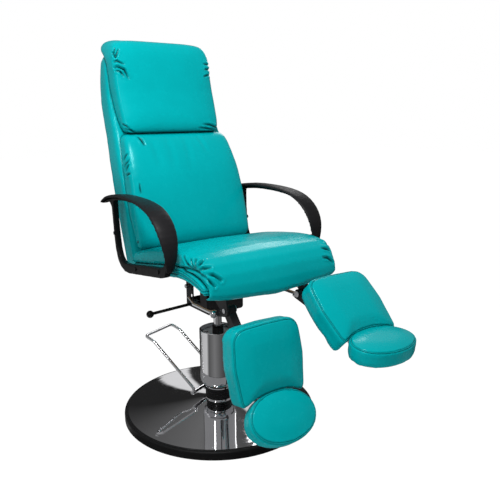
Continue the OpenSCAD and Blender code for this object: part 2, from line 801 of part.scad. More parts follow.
module back_bracket() color([0.08, 0.08, 0.08]) at_seat() for (side = [-1, 1])
  translate([side * bracket_bar_x, 0, 0]) across(bracket_bar_w) {
    low = seat_base_w - soft_gap;
    foot_u = bracket_rear + soft_gap;
    low_u = back_u - back_board_t - soft_gap;
    top_u = rake_u(low + bracket_up) - back_board_t - soft_gap;
    polygon([
      [foot_u, low - sheet_t], [low_u, low - sheet_t],
      [top_u, low + bracket_up], [top_u - bar_up_t, low + bracket_up],
      [low_u - bar_up_t, low], [foot_u, low]
    ]);
  }

module back_board() color([0.62, 0.45, 0.27]) at_seat() across(back_board_w) {
  line = rake_line();
  polygon(concat(
    [for (p = line) [p[0] - back_board_t, p[1]]],
    [for (i = [len(line) - 1 : -1 : 0]) line[i]]
  ));
}
back_board_w = 330;

// Rings of a form that stands on the back: rows of height, half width, front and rear depth
function back_rings(rows, n, front_power, rear_power) = [
  for (r = rows) [
    for (i = [0 : n - 1])
      let (
        a = 360 * i / n,
        p = sin(a) < 0 ? front_power : rear_power,
        mid = (r[2] + r[3]) / 2,
        deep = (r[3] - r[2]) / 2
      )
        [r[1] * spow(cos(a), 2 / p), mid + deep * spow(sin(a), 2 / p), r[0]]
  ]
];

// Back shell: height, half width and depth shares
shell_shares = [
  [0, 0.90, 0.80], [0.012, 0.985, 0.93], [0.131, 1, 0.93], [0.27, 1, 0.98], [0.41, 0.99, 1], [0.51, 0.965, 0.98],
  [0.62, 0.925, 0.93], [0.76, 0.885, 0.86], [0.90, 0.85, 0.70], [0.975, 0.81, 0.50], [1, 0.75, 0.30]
];

shell_fit = 1;

module back_shell() color([0.05, 0.68, 0.68]) at_seat() {
  rows = [
    for (s = smooth(shell_shares, 2))
      let (w = back_w0 + s[0] * back_h)
        [w, s[1] * back_w / 2, rake_u(w) + shell_fit, rake_u(w) + shell_fit + s[2] * back_d]
  ];
  rings = back_rings(rows, 28, 14, 8);
  skin(rings, middle(rings[0]), middle(rings[len(rings) - 1]));
}

// Back cushion: height, half width and depth shares
back_cushion_shares = [
  [0, 0.90, 0.45], [0.03, 0.955, 0.72], [0.12, 0.965, 0.95], [0.35, 0.965, 1],
  [0.62, 0.95, 1], [0.83, 0.915, 0.95], [0.95, 0.88, 0.80], [1, 0.82, 0.5]
];
back_cushion_w0 = seat_base_w + 76;

module back_cushion() color([0, 0.7, 0.71]) at_seat() {
  rows = [
    for (s = smooth(back_cushion_shares, 3))
      let (w = back_cushion_w0 + s[0] * back_cushion_h, rear = rake_u(w) - back_board_t - soft_gap)
        [w, s[1] * back_w / 2, rear - s[2] * back_cushion_d, rear]
  ];
  rings = back_rings(rows, 28, 3.4, 14);
  skin(rings, middle(rings[0]), middle(rings[len(rings) - 1]));
}

// Head cushion: height, half width and depth shares
head_shares = [
  [0, 0.86, 0.5], [0.04, 0.95, 0.82], [0.15, 0.99, 1], [0.45, 1, 1], [0.7, 0.99, 0.96],
  [0.87, 0.95, 0.82], [0.96, 0.89, 0.6], [1, 0.8, 0.3]
];
head_w0 = back_cushion_w0 + back_cushion_h + 1;

module head_cushion() color([0, 0.72, 0.73]) at_seat() {
  rows = [
    for (s = smooth(head_shares, 2))
      let (w = head_w0 + s[0] * head_h, rear = rake_u(w) - back_board_t - soft_gap)
        [w, s[1] * head_w / 2, rear - s[2] * head_d, rear]
  ];
  rings = back_rings(rows, 28, 3.4, 14);
  skin(rings, middle(rings[0]), middle(rings[len(rings) - 1]));
}

// The armrests, drawn from the rear bolt in the loop's lower bar

arm_bolt_u = 58;
arm_bolt_w = seat_base_w + 22;
arm_bolt_share = [0.479, 0.111];
arm_bolts_shares = [[0.479, 0.111], [0.145, 0.215], [0.791, 0.467]];

function arm_point(s) = [(s[0] - arm_bolt_share[0]) * arm_l, (s[1] - arm_bolt_share[1]) * arm_h];

// Top of the armrest from its rear tip to the front, as shares of its length and height
arm_top_shares = [
  [1, 0.853], [0.922, 0.910], [0.847, 0.950], [0.658, 0.994], [0.511, 1], [0.368, 0.988],
  [0.252, 0.958], [0.163, 0.905], [0.094, 0.823], [0.042, 0.718], [0.008, 0.590], [-0.003, 0.46],
  [0.002, 0.345], [0.022, 0.245]
];
// Width of the soft top at each of those points
arm_pad_w_shares = [0.62, 0.85, 0.95, 1, 1.1, 1.22, 1.3, 1.3, 1.28, 1.22, 1.08, 0.86, 0.66, 0.44];
arm_low_shares = [
  [0.063, 0.180], [0.121, 0.146], [0.157, 0.134],
  [0.595, 0.004], [0.663, 0], [0.724, 0.046], [0.771, 0.130], [0.798, 0.249],
  [0.812, 0.421], [0.820, 0.621], [0.826, 0.800]
];
arm_tip_shares = [[0.861, 0.858], [0.98, 0.822]];
arm_hole_shares = [
  [0.788, 0.812], [0.785, 0.621], [0.775, 0.421], [0.762, 0.290], [0.735, 0.180],
  [0.700, 0.130], [0.660, 0.111], [0.544, 0.138], [0.317, 0.214], [0.174, 0.253],
  [0.110, 0.272], [0.070, 0.320], [0.048, 0.448]
];
arm_rib = 11;

module arm_loop() {
  top = smooth([for (s = arm_top_shares) arm_point(s)], 3);
  under = shifted(top, -arm_pad_t);
  inside = shifted(top, -arm_pad_t - arm_rib);
  n = len(top) - 1;
  difference() {
    polygon(concat(under, [for (s = concat(arm_low_shares, arm_tip_shares)) arm_point(s)]));
    polygon(concat(
      [for (i = [0 : n]) if (inside[i][0] < arm_point(arm_hole_shares[0])[0]) inside[i]],
      [for (k = [len(arm_hole_shares) - 1 : -1 : 0]) arm_point(arm_hole_shares[k])]
    ));
  }
}

module at_arm(side) {
  at_seat() translate([side * arm_x, arm_bolt_u, arm_bolt_w]) rotate([0, 0, side * arm_yaw])
    rotate([arm_pitch, 0, 0]) children();
}

module armrest(side) {
  at_arm(side) difference() {
    across(arm_t) arm_loop();
    for (s = arm_bolts_shares) let (p = arm_point(s))
      translate([0, p[0], p[1]]) cross_bar(arm_hole_r, arm_t + cut);
  }
}
arm_hole_r = 3.5;

module armrest_left() color([0.09, 0.09, 0.1]) armrest(-1);
module armrest_right() color([0.09, 0.09, 0.1]) armrest(1);

arm_pad_points = 12;

// The soft top: a crowned band along the top of the loop, narrower at both ends
module armrest_pad(side) {
  steps = 2;
  top = smooth([for (s = arm_top_shares) arm_point(s)], steps);
  width = smooth([for (s = arm_pad_w_shares) [s * arm_pad_w, 0]], steps);
  base = shifted(top, soft_gap - arm_pad_t);
  n = len(top) - 1;
  rings = [
    for (i = [0 : n])
      [for (k = [0 : arm_pad_points - 1])
        let (a = -180 * k / (arm_pad_points - 3), w = width[i][0])
          k < arm_pad_points - 2
            ? let (d = top[i] - base[i], h = pow(sin(-a), 0.7))
              [w / 2 * cos(a) * (1 - 0.08 * h), base[i][0] + d[0] * h, base[i][1] + d[1] * h]
            : let (x = w / 2 * (k == arm_pad_points - 2 ? -0.5 : 0.5)) [x, base[i][0], base[i][1]]]
  ];
  at_arm(side) skin([for (i = [n : -1 : 0]) rings[i]], middle(rings[n]), middle(rings[0]));
}

module armrest_pad_left() color([0.12, 0.12, 0.13]) armrest_pad(-1);
module armrest_pad_right() color([0.12, 0.12, 0.13]) armrest_pad(1);

arm_bolt_head_t = 3;

// Two bolts with spacers on each lower bar, and a cap on each rear post
module armrest_bolts() color([0.04, 0.04, 0.04]) for (side = [-1, 1], s = arm_bolts_shares)
  at_arm(side) let (
    p = arm_point(s),
    gap = arm_x - arm_t / 2 - seat_w / 2 + band_inset,
    spacer = gap - p[0] * sin(arm_yaw) - fixing_head_r * tan(arm_yaw)
  )
    translate([0, p[0], p[1]]) {
      translate([side * (arm_t + arm_bolt_head_t) / 2, 0, 0]) cross_bar(fixing_head_r, arm_bolt_head_t);
      cross_bar(arm_hole_r, arm_t);
      if (s[1] < arm_bolts_shares[2][1])
        translate([-side * (arm_t + spacer) / 2, 0, 0]) cross_bar(fixing_head_r, spacer);
    }

// The leg rests: hangers, arms, sliding calf boards and pads, foot boards and pads

hanger_t = 6;
hub_gap = 1.5;
leg_pin_r = 7;
clamp_u = 47 - leg_pivot_u;
clamp_w = -12 - leg_pivot_w;
clamp_r = 5;
plate_x = leg_x + leg_tube_w / 2 + hub_gap + hanger_t / 2;
flange_in = 34;
flange_end = 13;

// The hanger's side plate, in the seat's plane
module hanger_outline() {
  top = seat_base_w - sheet_t;
  difference() {
    union() {
      polygon([
        [leg_u - 18, leg_w + 2], [leg_u - 14, leg_w + 60], [hanger_bolt_u[0] - flange_end, top],
        [hanger_bolt_u[1] + flange_end, top], [leg_u + 60, leg_w + 42], [leg_u + 18, leg_w]
      ]);
      translate([leg_u, leg_w]) circle(18);
      polygon([
        [leg_u, leg_w - 18], [leg_u, leg_w + 6],
        [clamp_u, clamp_w + 8], [clamp_u, clamp_w - 8]
      ]);
      translate([clamp_u, clamp_w]) circle(8);
    }
    translate([leg_u, leg_w]) circle(leg_pin_r);
    translate([clamp_u, clamp_w]) circle(clamp_r);
  }
}

module leg_hanger(side) {
  at_seat() {
    translate([side * plate_x, 0, 0]) across(hanger_t) hanger_outline();
    translate([side * (plate_x + hanger_t / 2 - flange_in / 2) - flange_in / 2,
               hanger_bolt_u[0] - flange_end, seat_base_w - sheet_t])
      cube([flange_in, hanger_bolt_u[1] - hanger_bolt_u[0] + 2 * flange_end, sheet_t]);
  }
}

module leg_hanger_left() color([0.06, 0.06, 0.06]) leg_hanger(-1);
module leg_hanger_right() color([0.06, 0.06, 0.06]) leg_hanger(1);

module leg_pin(side) {
  shaft = leg_tube_w + 2 * hub_gap + hanger_t + pin_head_t + cut;
  at_seat() translate([side * leg_x, leg_u, leg_w]) {
    translate([side * (shaft / 2 - leg_tube_w / 2 - hub_gap - pin_head_t), 0, 0]) cross_bar(leg_pin_r, shaft);
    translate([-side * (leg_tube_w / 2 + hub_gap + pin_head_t / 2), 0, 0]) cross_bar(leg_pin_r + 3, pin_head_t);
  }
}
pin_head_t = 4;

module leg_pin_left() color("silver") leg_pin(-1);
module leg_pin_right() color("silver") leg_pin(1);

leg_hub_r = 15;
arm_angle = 28;
arm_run = 222;
arm_back = 6;
arm_end = 12;
sleeve_from = 122;
sleeve_to = 205;
sleeve_low = 80;
sleeve_deep = 26;
sleeve_w = 44;
bar_w = 32;
bar_t = 10;

module leg_arm(side) {
  at_leg(side) difference() {
    union() {
      across(leg_tube_w) difference() {
        union() {
          circle(leg_hub_r);
          rotate(-arm_angle) translate([-arm_run, -leg_tube_w / 2 - arm_back])
            square([arm_run + arm_end, leg_tube_w]);
        }
        circle(leg_pin_r + running_fit);
      }
      translate([-sleeve_w / 2, -sleeve_to, sleeve_low]) cube([sleeve_w, sleeve_to - sleeve_from, sleeve_deep]);
    }
    translate([-bar_w / 2 - slide_fit, -sleeve_to - cut, bar_h - bar_t / 2 - slide_fit])
      cube([bar_w + 2 * slide_fit, sleeve_to - sleeve_from + 2 * cut, bar_t + 2 * slide_fit]);
    translate([-leg_tube_w, -sleeve_to - arm_run, sleeve_low + sleeve_deep]) cube([2 * leg_tube_w, 2 * arm_run, arm_run]);
  }
}
bar_h = sleeve_low + sleeve_deep / 2 + 1;

module leg_arm_left() color([0.05, 0.05, 0.05]) leg_arm(-1);
module leg_arm_right() color([0.05, 0.05, 0.05]) leg_arm(1);

calf_from = 24;
calf_h = 118;
calf_board_t = 6;
block_l = 16;
foot_hinge_s = 309;
foot_hinge_h = 143;
slide_from = calf_from + 18;
slide_to = 232;
hinge_lug_r = 11;
hinge_lug_w = 22;
foot_pin_r = 4;

module calf_slide(side) {
  board_back = calf_h - soft_gap - calf_board_t;
  at_calf(side) {
    translate([-bar_w / 2, -slide_to, bar_h - bar_t / 2]) cube([bar_w, slide_to - slide_from, bar_t]);
    for (s = [slide_from, slide_to - block_l])
      translate([-bar_w / 2, -s - block_l, bar_h]) cube([bar_w, block_l, board_back - bar_h]);
    difference() {
      union() {
        across(hinge_lug_w) polygon([
          [cut - slide_to, bar_h - bar_t / 2], [cut - slide_to, bar_h + bar_t / 2],
          [-foot_hinge_s - 5, foot_hinge_h + 7], [-foot_hinge_s + 4, foot_hinge_h - 9]
        ]);
        translate([0, -foot_hinge_s, foot_hinge_h]) cross_bar(hinge_lug_r, hinge_lug_w);
      }
      translate([0, -foot_hinge_s, foot_hinge_h]) cross_bar(foot_pin_r + running_fit, 2 * hinge_lug_w);
    }
  }
}

module calf_slide_left() color([0.55, 0.55, 0.57]) calf_slide(-1);
module calf_slide_right() color([0.55, 0.55, 0.57]) calf_slide(1);

calf_points = 12;
calf_corner_share = 0.34;

// Outline of the calf pad, from its middle: wider at the top, hollow at the bottom
function calf_outline(grow) =
  let (
    top = calf_half_top + grow, low = calf_half_bottom + grow, half = calf_l / 2 + grow,
    rt = 38, rb = 16, from = low - rb + 2
  )
    concat(
      [for (a = [0 : 22.5 : 90]) [top - rt + rt * cos(a), half - rt + rt * sin(a)]],
      [[0, half + 2]],
      [for (a = [90 : 22.5 : 180]) [rt - top + rt * cos(a), half - rt + rt * sin(a)]],
      [[-(top + low) / 2 - calf_bow, 0]],
      [for (a = [180 : 30 : 240]) [rb - low + rb * cos(a), rb - half + rb * sin(a)]],
      [for (k = [-4 : 4]) let (x = k / 4)
        [x * from, calf_hollow * (1 - hollow_end * pow(abs(x), 2.5)) - half]],
      [for (a = [300 : 30 : 360]) [low - rb + rb * cos(a), rb - half + rb * sin(a)]],
      [[(top + low) / 2 + calf_bow, 0]]
    );
hollow_end = 0.72;
calf_bow = 7;

// A boxed pad over an outline: rows of height share and inset
module boxed_pad(outline, rows, t, half_x, half_y, crown) {
  rings = [
    for (r = rows)
      [for (p = outline) [
        p[0] * (1 - r[1] / half_x), p[1] * (1 - r[1] / half_y),
        t * r[0] + crown * r[2]
      ]]
  ];
  skin([for (i = [len(rings) - 1 : -1 : 0]) rings[i]], [0, 0, t + crown], [0, 0, 0]);
}

// Height share, inset and crown share of each ring of a boxed pad
function pad_rows(edge) = [
  [0, edge * 1.6, 0], [0.02, edge * 0.3, 0], [0.12, 0, 0], [0.45, edge * 0.12, 0],
  [0.75, 0, 0], [0.79, 0, 0], [0.9, edge * 0.35, 0], [0.97, edge, 0], [1, edge * 2, 0.05],
  [1, edge * 3.6, 0.45], [1, edge * 6, 0.85]
];
calf_edge = 8;
calf_crown = 7;
foot_edge = 7;
foot_crown = 5;

module calf_pad(side) {
  at_calf(side) translate([0, -calf_from - calf_l / 2, calf_h])
    boxed_pad(calf_outline(0), pad_rows(calf_edge), calf_t - calf_crown,
              calf_half_top, calf_l / 2, calf_crown);
}

module calf_pad_left() color([0, 0.6, 0.6]) calf_pad(-1);
module calf_pad_right() color([0, 0.66, 0.67]) calf_pad(1);

calf_board_in = 8;

module calf_board(side) {
  at_calf(side) translate([0, -calf_from - calf_l / 2, calf_h - soft_gap - calf_board_t])
    linear_extrude(calf_board_t) polygon(calf_outline(-calf_board_in));
}

module calf_board_left() color([0.12, 0.12, 0.12]) calf_board(-1);
module calf_board_right() color([0.12, 0.12, 0.12]) calf_board(1);

foot_back = 26;
foot_board_t = 6;
foot_ahead = 4;
foot_points = 32;

function oval(hx, hy, n) = [for (i = [0 : n - 1]) let (a = 360 * i / n) [hx * cos(a), hy * sin(a)]];

module foot_board(side) {
  at_foot(side) {
    translate([0, -foot_ahead, foot_back]) linear_extrude(foot_board_t)
      polygon(oval(foot_half_w - calf_board_in, foot_half_l - calf_board_in, 60));
    for (in_out = [-1, 1]) translate([in_out * (hinge_lug_w / 2 + sheet_t / 2 + slide_fit), 0, 0])
      across(sheet_t) difference() {
        union() {
          circle(hinge_lug_r - 1);
          translate([-hinge_lug_r + 1, 0]) square([2 * hinge_lug_r - 2, foot_back]);
        }
        circle(foot_pin_r);
      }
    cross_bar(foot_pin_r, hinge_lug_w + 2 * sheet_t + 2 * slide_fit + 4);
  }
}

module foot_board_left() color([0.12, 0.12, 0.12]) foot_board(-1);
module foot_board_right() color([0.12, 0.12, 0.12]) foot_board(1);

module foot_pad(side) {
  at_foot(side) translate([0, -foot_ahead, foot_back + foot_board_t + soft_gap])
    boxed_pad(oval(foot_half_w, foot_half_l, foot_points), pad_rows(foot_edge),
              foot_t - foot_crown, foot_half_w, foot_half_l, foot_crown);
}

module foot_pad_left() color([0, 0.6, 0.6]) foot_pad(-1);
module foot_pad_right() color([0, 0.66, 0.67]) foot_pad(1);

lock_hub_r = 13;
lock_rod_r = 5.5;
lock_rod_l = 118;
lock_tip_r = 2.5;
lock_tip_l = 36;
lock_taper = 3;
lock_tip_angle = 24;
lock_pitch = 9;
lock_shaft_l = 16;

module lock_lever(side) {
  face = plate_x + hanger_t / 2 + hub_gap / 2;
  at_seat() translate([0, clamp_u, clamp_w]) {
    difference() {
      translate([side * (face + lock_hub_r / 2), 0, 0]) {
        rotate([0, 0, 90 - side * 90]) sphere(r = lock_hub_r);
        rotate([-90 + lock_pitch, 0, 0]) {
          cylinder(r = lock_rod_r, h = lock_rod_l);
          translate([0, 0, lock_rod_l]) cylinder(r1 = lock_rod_r, r2 = lock_tip_r + 2, h = lock_taper);
          translate([0, 0, lock_rod_l]) rotate([lock_tip_angle, 0, 0]) cylinder(r = lock_tip_r, h = lock_tip_l);
        }
      }
      translate([side * (face - lock_hub_r), 0, 0]) cross_bar(2 * lock_hub_r, 2 * lock_hub_r);
    }
    translate([side * (face + cut - lock_shaft_l / 2), 0, 0]) cross_bar(clamp_r - running_fit, lock_shaft_l);
  }
}

module lock_lever_left() color("silver") lock_lever(-1);
module lock_lever_right() color("silver") lock_lever(1);

base_plate();
base_ring();
base_dome();
neck_collar();
collar_rings();
pump_body();
pump_cover();
pump_gland();
ram_wiper();
pump_bolts();
pedal_bracket();
pedal_pin();
pedal_bar();
pedal_hub();
ram();
thrust_washer();
tilt_housing();
swivel_socket();
tilt_pin();
lever_pin();
tilt_lever();
tilt_knob();
seat_bracket();
tilt_lock_bolt();
seat_fixings();
seat_board();
seat_shell();
seat_cushion();
back_bracket();
back_board();
back_shell();
back_cushion();
head_cushion();
armrest_left();
armrest_right();
armrest_pad_left();
armrest_pad_right();
armrest_bolts();
leg_hanger_left();
leg_hanger_right();
leg_pin_left();
leg_pin_right();
leg_arm_left();
leg_arm_right();
calf_slide_left();
calf_slide_right();
calf_board_left();
calf_board_right();
calf_pad_left();
calf_pad_right();
foot_board_left();
foot_board_right();
foot_pad_left();
foot_pad_right();
lock_lever_left();
lock_lever_right();
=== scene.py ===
import json
import math

import bmesh
import bpy
import numpy as np
from mathutils import Matrix, Vector
from mathutils.bvhtree import BVHTree
from mathutils.kdtree import KDTree


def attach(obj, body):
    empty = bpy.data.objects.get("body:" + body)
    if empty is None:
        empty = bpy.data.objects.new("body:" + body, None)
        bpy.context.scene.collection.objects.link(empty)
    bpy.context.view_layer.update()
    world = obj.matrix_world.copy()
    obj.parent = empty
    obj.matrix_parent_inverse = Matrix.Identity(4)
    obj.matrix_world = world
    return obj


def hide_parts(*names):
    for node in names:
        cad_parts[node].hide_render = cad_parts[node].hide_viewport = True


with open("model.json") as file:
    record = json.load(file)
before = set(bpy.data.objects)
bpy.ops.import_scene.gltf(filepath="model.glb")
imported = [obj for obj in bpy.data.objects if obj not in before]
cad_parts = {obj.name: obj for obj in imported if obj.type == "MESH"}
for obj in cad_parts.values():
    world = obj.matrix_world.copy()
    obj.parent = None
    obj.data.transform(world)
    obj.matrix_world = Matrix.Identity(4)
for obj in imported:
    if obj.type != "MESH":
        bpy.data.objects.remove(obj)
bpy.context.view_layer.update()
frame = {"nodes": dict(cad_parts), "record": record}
NODES = frame["nodes"]
SCENE = bpy.context.scene
SCENE.view_settings.view_transform = "Standard"
MM = 0.001

# Frames of the moving parts

# In metres and degrees, as in the CAD source; left is -X
SEAT_ORIGIN = (0.0, -0.025, 0.490)
SEAT_TILT = 9.0
LEG_PIVOT = (0.137, -0.28203, 0.47806)
LEG_DROP = {"left": 79.0, "right": 43.0}
LEG_OUT = {"left": 0.0, "right": 0.020}
FOOT_TILT = {"left": 28.0, "right": 35.0}
FOOT_HINGE = (0.309, 0.143)
SIDE = {"left": -1, "right": 1}


class Frame:
    """A turned frame: rotation about X by some degrees, then a shift."""

    def __init__(self, origin, degrees):
        c, s = math.cos(math.radians(degrees)), math.sin(math.radians(degrees))
        self.turn = np.array([[1, 0, 0], [0, c, -s], [0, s, c]])
        self.origin = np.array(origin)

    def local(self, points):
        return (np.asarray(points) - self.origin) @ self.turn

    def world(self, points):
        return np.asarray(points) @ self.turn.T + self.origin


SEAT = Frame(SEAT_ORIGIN, -SEAT_TILT)


def calf_frame(side):
    flat = Frame((SIDE[side] * LEG_PIVOT[0], LEG_PIVOT[1], LEG_PIVOT[2]), LEG_DROP[side])
    return Frame(flat.world([[0, -LEG_OUT[side], 0]])[0], LEG_DROP[side])


def foot_frame(side):
    hinge = calf_frame(side).world([[0, -FOOT_HINGE[0], FOOT_HINGE[1]]])[0]
    return Frame(hinge, LEG_DROP[side] - FOOT_TILT[side])


# The camera's place

AZIMUTH, ELEVATION, ROLL = math.radians(-35.9), math.radians(12.7), math.radians(-0.45)
DISTANCE, AIM_RIGHT, AIM_HEIGHT = 2.025, 0.115, 0.588
SENSOR_WIDTH, FOCAL_LENGTH = 36, 42.84

to_camera = Vector((
    math.sin(AZIMUTH) * math.cos(ELEVATION), -math.cos(AZIMUTH) * math.cos(ELEVATION), math.sin(ELEVATION)))
to_right = Vector((math.cos(AZIMUTH), math.sin(AZIMUTH), 0))
to_top = to_camera.cross(to_right)
eye = Vector((0, 0, AIM_HEIGHT)) + to_right * AIM_RIGHT + to_camera * DISTANCE

# Materials


class Tree:
    """A short way to write a node tree."""

    def __init__(self, owner, empty=True):
        owner.use_nodes = True
        self.tree = owner.node_tree
        if empty:
            self.tree.nodes.clear()

    def new(self, kind, **values):
        node = self.tree.nodes.new(kind)
        for key, value in values.items():
            if hasattr(node, key):
                setattr(node, key, value)
            else:
                node.inputs[key.replace("_", " ")].default_value = value
        return node

    def link(self, a, b):
        self.tree.links.new(a, b)

    def ramp(self, value, stops):
        """A colour ramp; stops are (place, colour)."""
        node = self.new("ShaderNodeValToRGB")
        for i, (at, colour) in enumerate(stops):
            stop = node.color_ramp.elements[i] if i < 2 else node.color_ramp.elements.new(at)
            stop.position = at
            stop.color = (*colour, 1)
        self.link(value, node.inputs["Fac"])
        return node.outputs["Color"]

    def greys_round(self, stops):
        """Greys round the object's own Z axis; stops are (share of a turn, grey)."""
        turn = self.new("ShaderNodeTexGradient", gradient_type="RADIAL")
        self.link(self.new("ShaderNodeTexCoord").outputs["Object"], turn.inputs["Vector"])
        return self.ramp(turn.outputs["Fac"], [(at, (grey, grey, grey)) for at, grey in stops])

    def mixed(self, share, first, second):
        """The first shader where share is 0, the second where it is 1."""
        node = self.new("ShaderNodeMixShader")
        for socket, source in zip(node.inputs, (share, first, second)):
            self.link(source, socket)
        return node.outputs[0]

    def output(self, kind, surface):
        self.link(surface, self.new(kind).inputs["Surface"])


class Finish(Tree):
    """A new material with a Principled shader."""

    def __init__(self, name):
        self.mat = bpy.data.materials.new(name)
        super().__init__(self.mat, empty=False)
        self.bsdf = self.tree.nodes["Principled BSDF"]
        self.place = self.new("ShaderNodeTexCoord").outputs["Object"]

    def stretched(self, stretch):
        if stretch is None:
            return self.place
        node = self.new("ShaderNodeMapping")
        node.inputs["Scale"].default_value = stretch
        self.link(self.place, node.inputs["Vector"])
        return node.outputs["Vector"]

    def noise(self, scale, detail=2.0, rough=0.5, stretch=None):
        node = self.new("ShaderNodeTexNoise", Scale=scale, Detail=detail, Roughness=rough)
        self.link(self.stretched(stretch), node.inputs["Vector"])
        return node.outputs["Fac"]

    def cells(self, scale):
        node = self.new("ShaderNodeTexVoronoi", Scale=scale)
        self.link(self.place, node.inputs["Vector"])
        return node.outputs["Distance"]

    def span(self, value, low, high, start=0.3, end=0.7):
        """low where the value is start, high where it is end."""
        node = self.new("ShaderNodeMapRange")
        for key, number in (("From Min", start), ("From Max", end), ("To Min", low), ("To Max", high)):
            node.inputs[key].default_value = number
        self.link(value, node.inputs["Value"])
        return node.outputs["Result"]

    def blended(self, share, first):
        """The second colour's input and the result of a blend from the first colour by share."""
        node = self.new("ShaderNodeMix", data_type="RGBA")
        self.link(share, node.inputs[0])
        self.link(first, node.inputs[6])
        return node.inputs[7], node.outputs[2]

    def with_painted_shade(self, colour):
        """Painted shade: the colour goes dark where the mesh's shade layer is high, in deep folds and where
        parts meet.
        """
        mark = self.new("ShaderNodeAttribute", attribute_name=SHADE_LAYER).outputs["Fac"]
        dark, result = self.blended(self.span(mark, 0, 0.96, 0, 0.8), colour)
        # The colour of the painted shade
        dark.default_value = (0.0, 0.02, 0.02, 1)
        return result

    def edge_highlight(self, colour, amount, pale):
        """Painted highlight: the colour goes pale along sharp edges."""
        edge = self.span(self.new("ShaderNodeNewGeometry").outputs["Pointiness"], 0, amount, 0.53, 0.62)
        second, result = self.blended(edge, colour)
        self.link(pale, second)
        return result

    def colour(self, socket):
        self.link(socket, self.bsdf.inputs["Base Color"])

    def rough(self, socket):
        self.link(socket, self.bsdf.inputs["Roughness"])

    def bump(self, *layers):
        """Layers are (height socket, strength, distance)."""
        normal = None
        for height, strength, distance in layers:
            node = self.new("ShaderNodeBump", Strength=strength, Distance=distance)
            self.link(height, node.inputs["Height"])
            if normal is not None:
                self.link(normal, node.inputs["Normal"])
            normal = node.outputs["Normal"]
        self.link(normal, self.bsdf.inputs["Normal"])

    def fixed(self, **values):
        for key, value in values.items():
            self.bsdf.inputs[key.replace("_", " ")].default_value = value


def tones(colour, *factors):
    """Ramp stops from (place, brightness) pairs of one colour."""
    return [(at, tuple(min(c * f, 1) for c in colour)) for at, f in factors]


TURQUOISE = (0.0, 0.43, 0.46)
# The mesh layer that holds painted shade, from 0 to 1
SHADE_LAYER = "painted_shade"


def make_leather():
    n = Finish("leatherette")
    # The leatherette's colour carries painted shade in folds and between parts
    n.colour(n.with_painted_shade(n.ramp(n.noise(5, 3), tones(TURQUOISE, (0.3, 0.95), (0.7, 1.05)))))
    n.rough(n.span(n.noise(40, 2), 0.23, 0.29))
    waves, grain, pores = n.noise(7, 2), n.cells(700), n.noise(1500, 2)
    n.bump((waves, 0.22, 0.004), (grain, 0.05, 0.0004), (pores, 0.03, 0.0002))
    n.fixed(Specular_IOR_Level=0.16, Specular_Tint=(0.2, 1, 1, 1), Coat_Weight=0.06, Coat_Roughness=0.13)
    return n.mat


def make_piping():
    n = Finish("leatherette_piping")
    n.colour(n.ramp(n.noise(60, 2), tones(TURQUOISE, (0.3, 0.86), (0.7, 1.0))))
    n.rough(n.span(n.noise(90, 2), 0.36, 0.46))
    n.bump((n.cells(700), 0.12, 0.0004))
    n.fixed(Specular_IOR_Level=0.13, Coat_Weight=0.04, Coat_Roughness=0.22)
    return n.mat


def make_metal(name, colour, low, high, wave=0.0, brushed=None):
    """low and high are the least and most roughness; a polished metal has a slight wave."""
    n = Finish(name)
    n.colour(n.ramp(n.noise(12, 3), tones(colour, (0.3, 0.97), (0.7, 1.02))))
    n.rough(n.span(n.noise(30, 4, stretch=brushed), low, high))
    n.bump((n.noise(9, 1), wave, 0.01) if wave else (n.noise(300, 2, stretch=brushed), 0.05, 0.0002))
    n.fixed(Metallic=1.0)
    return n.mat


def make_paint(name, colour, low, high, grain, strength, edge_highlight=0.0, shine=0.17):
    """Paint, rubber or plastic with a fine grain; the sixth value, where not 0, paints a pale highlight
    along sharp edges.
    """
    n = Finish(name)
    shade = n.ramp(n.noise(18, 4), tones(colour, (0.25, 0.85), (0.75, 1.15)))
    if edge_highlight:
        shade = n.edge_highlight(shade, edge_highlight, n.ramp(n.noise(120, 2), tones(colour, (0.3, 3.5), (0.7, 6.0))))
    n.colour(shade)
    n.rough(n.span(n.noise(60, 3), low, high))
    n.bump((n.noise(grain, 3), strength, 0.0004))
    n.fixed(Specular_IOR_Level=shine)
    return n.mat


def make_plywood():
    n = Finish("plywood")
    grain = n.noise(14, 6, 0.6, (14, 1, 3))
    n.colour(n.ramp(grain, [
        (0.3, (0.36, 0.22, 0.11)), (0.55, (0.52, 0.35, 0.2)), (0.75, (0.62, 0.45, 0.27))]))
    n.rough(n.span(grain, 0.55, 0.75))
    n.bump((grain, 0.2, 0.0006))
    return n.mat


METALS = {
    "chrome": dict(colour=(0.80, 0.80, 0.82), low=0.02, high=0.06, wave=0.03),
    "steel": dict(colour=(0.55, 0.55, 0.57), low=0.25, high=0.4, brushed=(1, 8, 1)),
    "bronze": dict(colour=(0.5, 0.38, 0.2), low=0.25, high=0.4),
}
# Colour, least and most roughness, scale and strength of the grain, painted highlight of the edges, shine
PAINTS = {
    "plate_steel": ((0.16, 0.16, 0.17), 0.5, 0.7, 300, 0.2),
    "edge_rubber": ((0.006, 0.006, 0.0065), 0.45, 0.6, 500, 0.25),
    "black_steel": ((0.012, 0.012, 0.013), 0.32, 0.46, 700, 0.15, 0.25),
    "pump_iron": ((0.55, 0.55, 0.57), 0.35, 0.5, 260, 0.4),
    "black_plastic": ((0.004, 0.004, 0.0046), 0.32, 0.44, 1300, 0.25, 0.15, 0.14),
    "soft_inlay": ((0.012, 0.0115, 0.013), 0.42, 0.52, 1800, 0.3, 0.0, 0.15),
    "seam_black": ((0.002, 0.002, 0.002), 0.7, 0.8, 300, 0.1, 0.0, 0.02),
    "knob_plastic": ((0.006, 0.006, 0.006), 0.12, 0.2, 200, 0.02),
}
MATERIALS = {"leatherette": make_leather(), "piping": make_piping(), "plywood": make_plywood()}
MATERIALS.update({name: make_metal(name, **look) for name, look in METALS.items()})
MATERIALS.update({name: make_paint(name, *look) for name, look in PAINTS.items()})

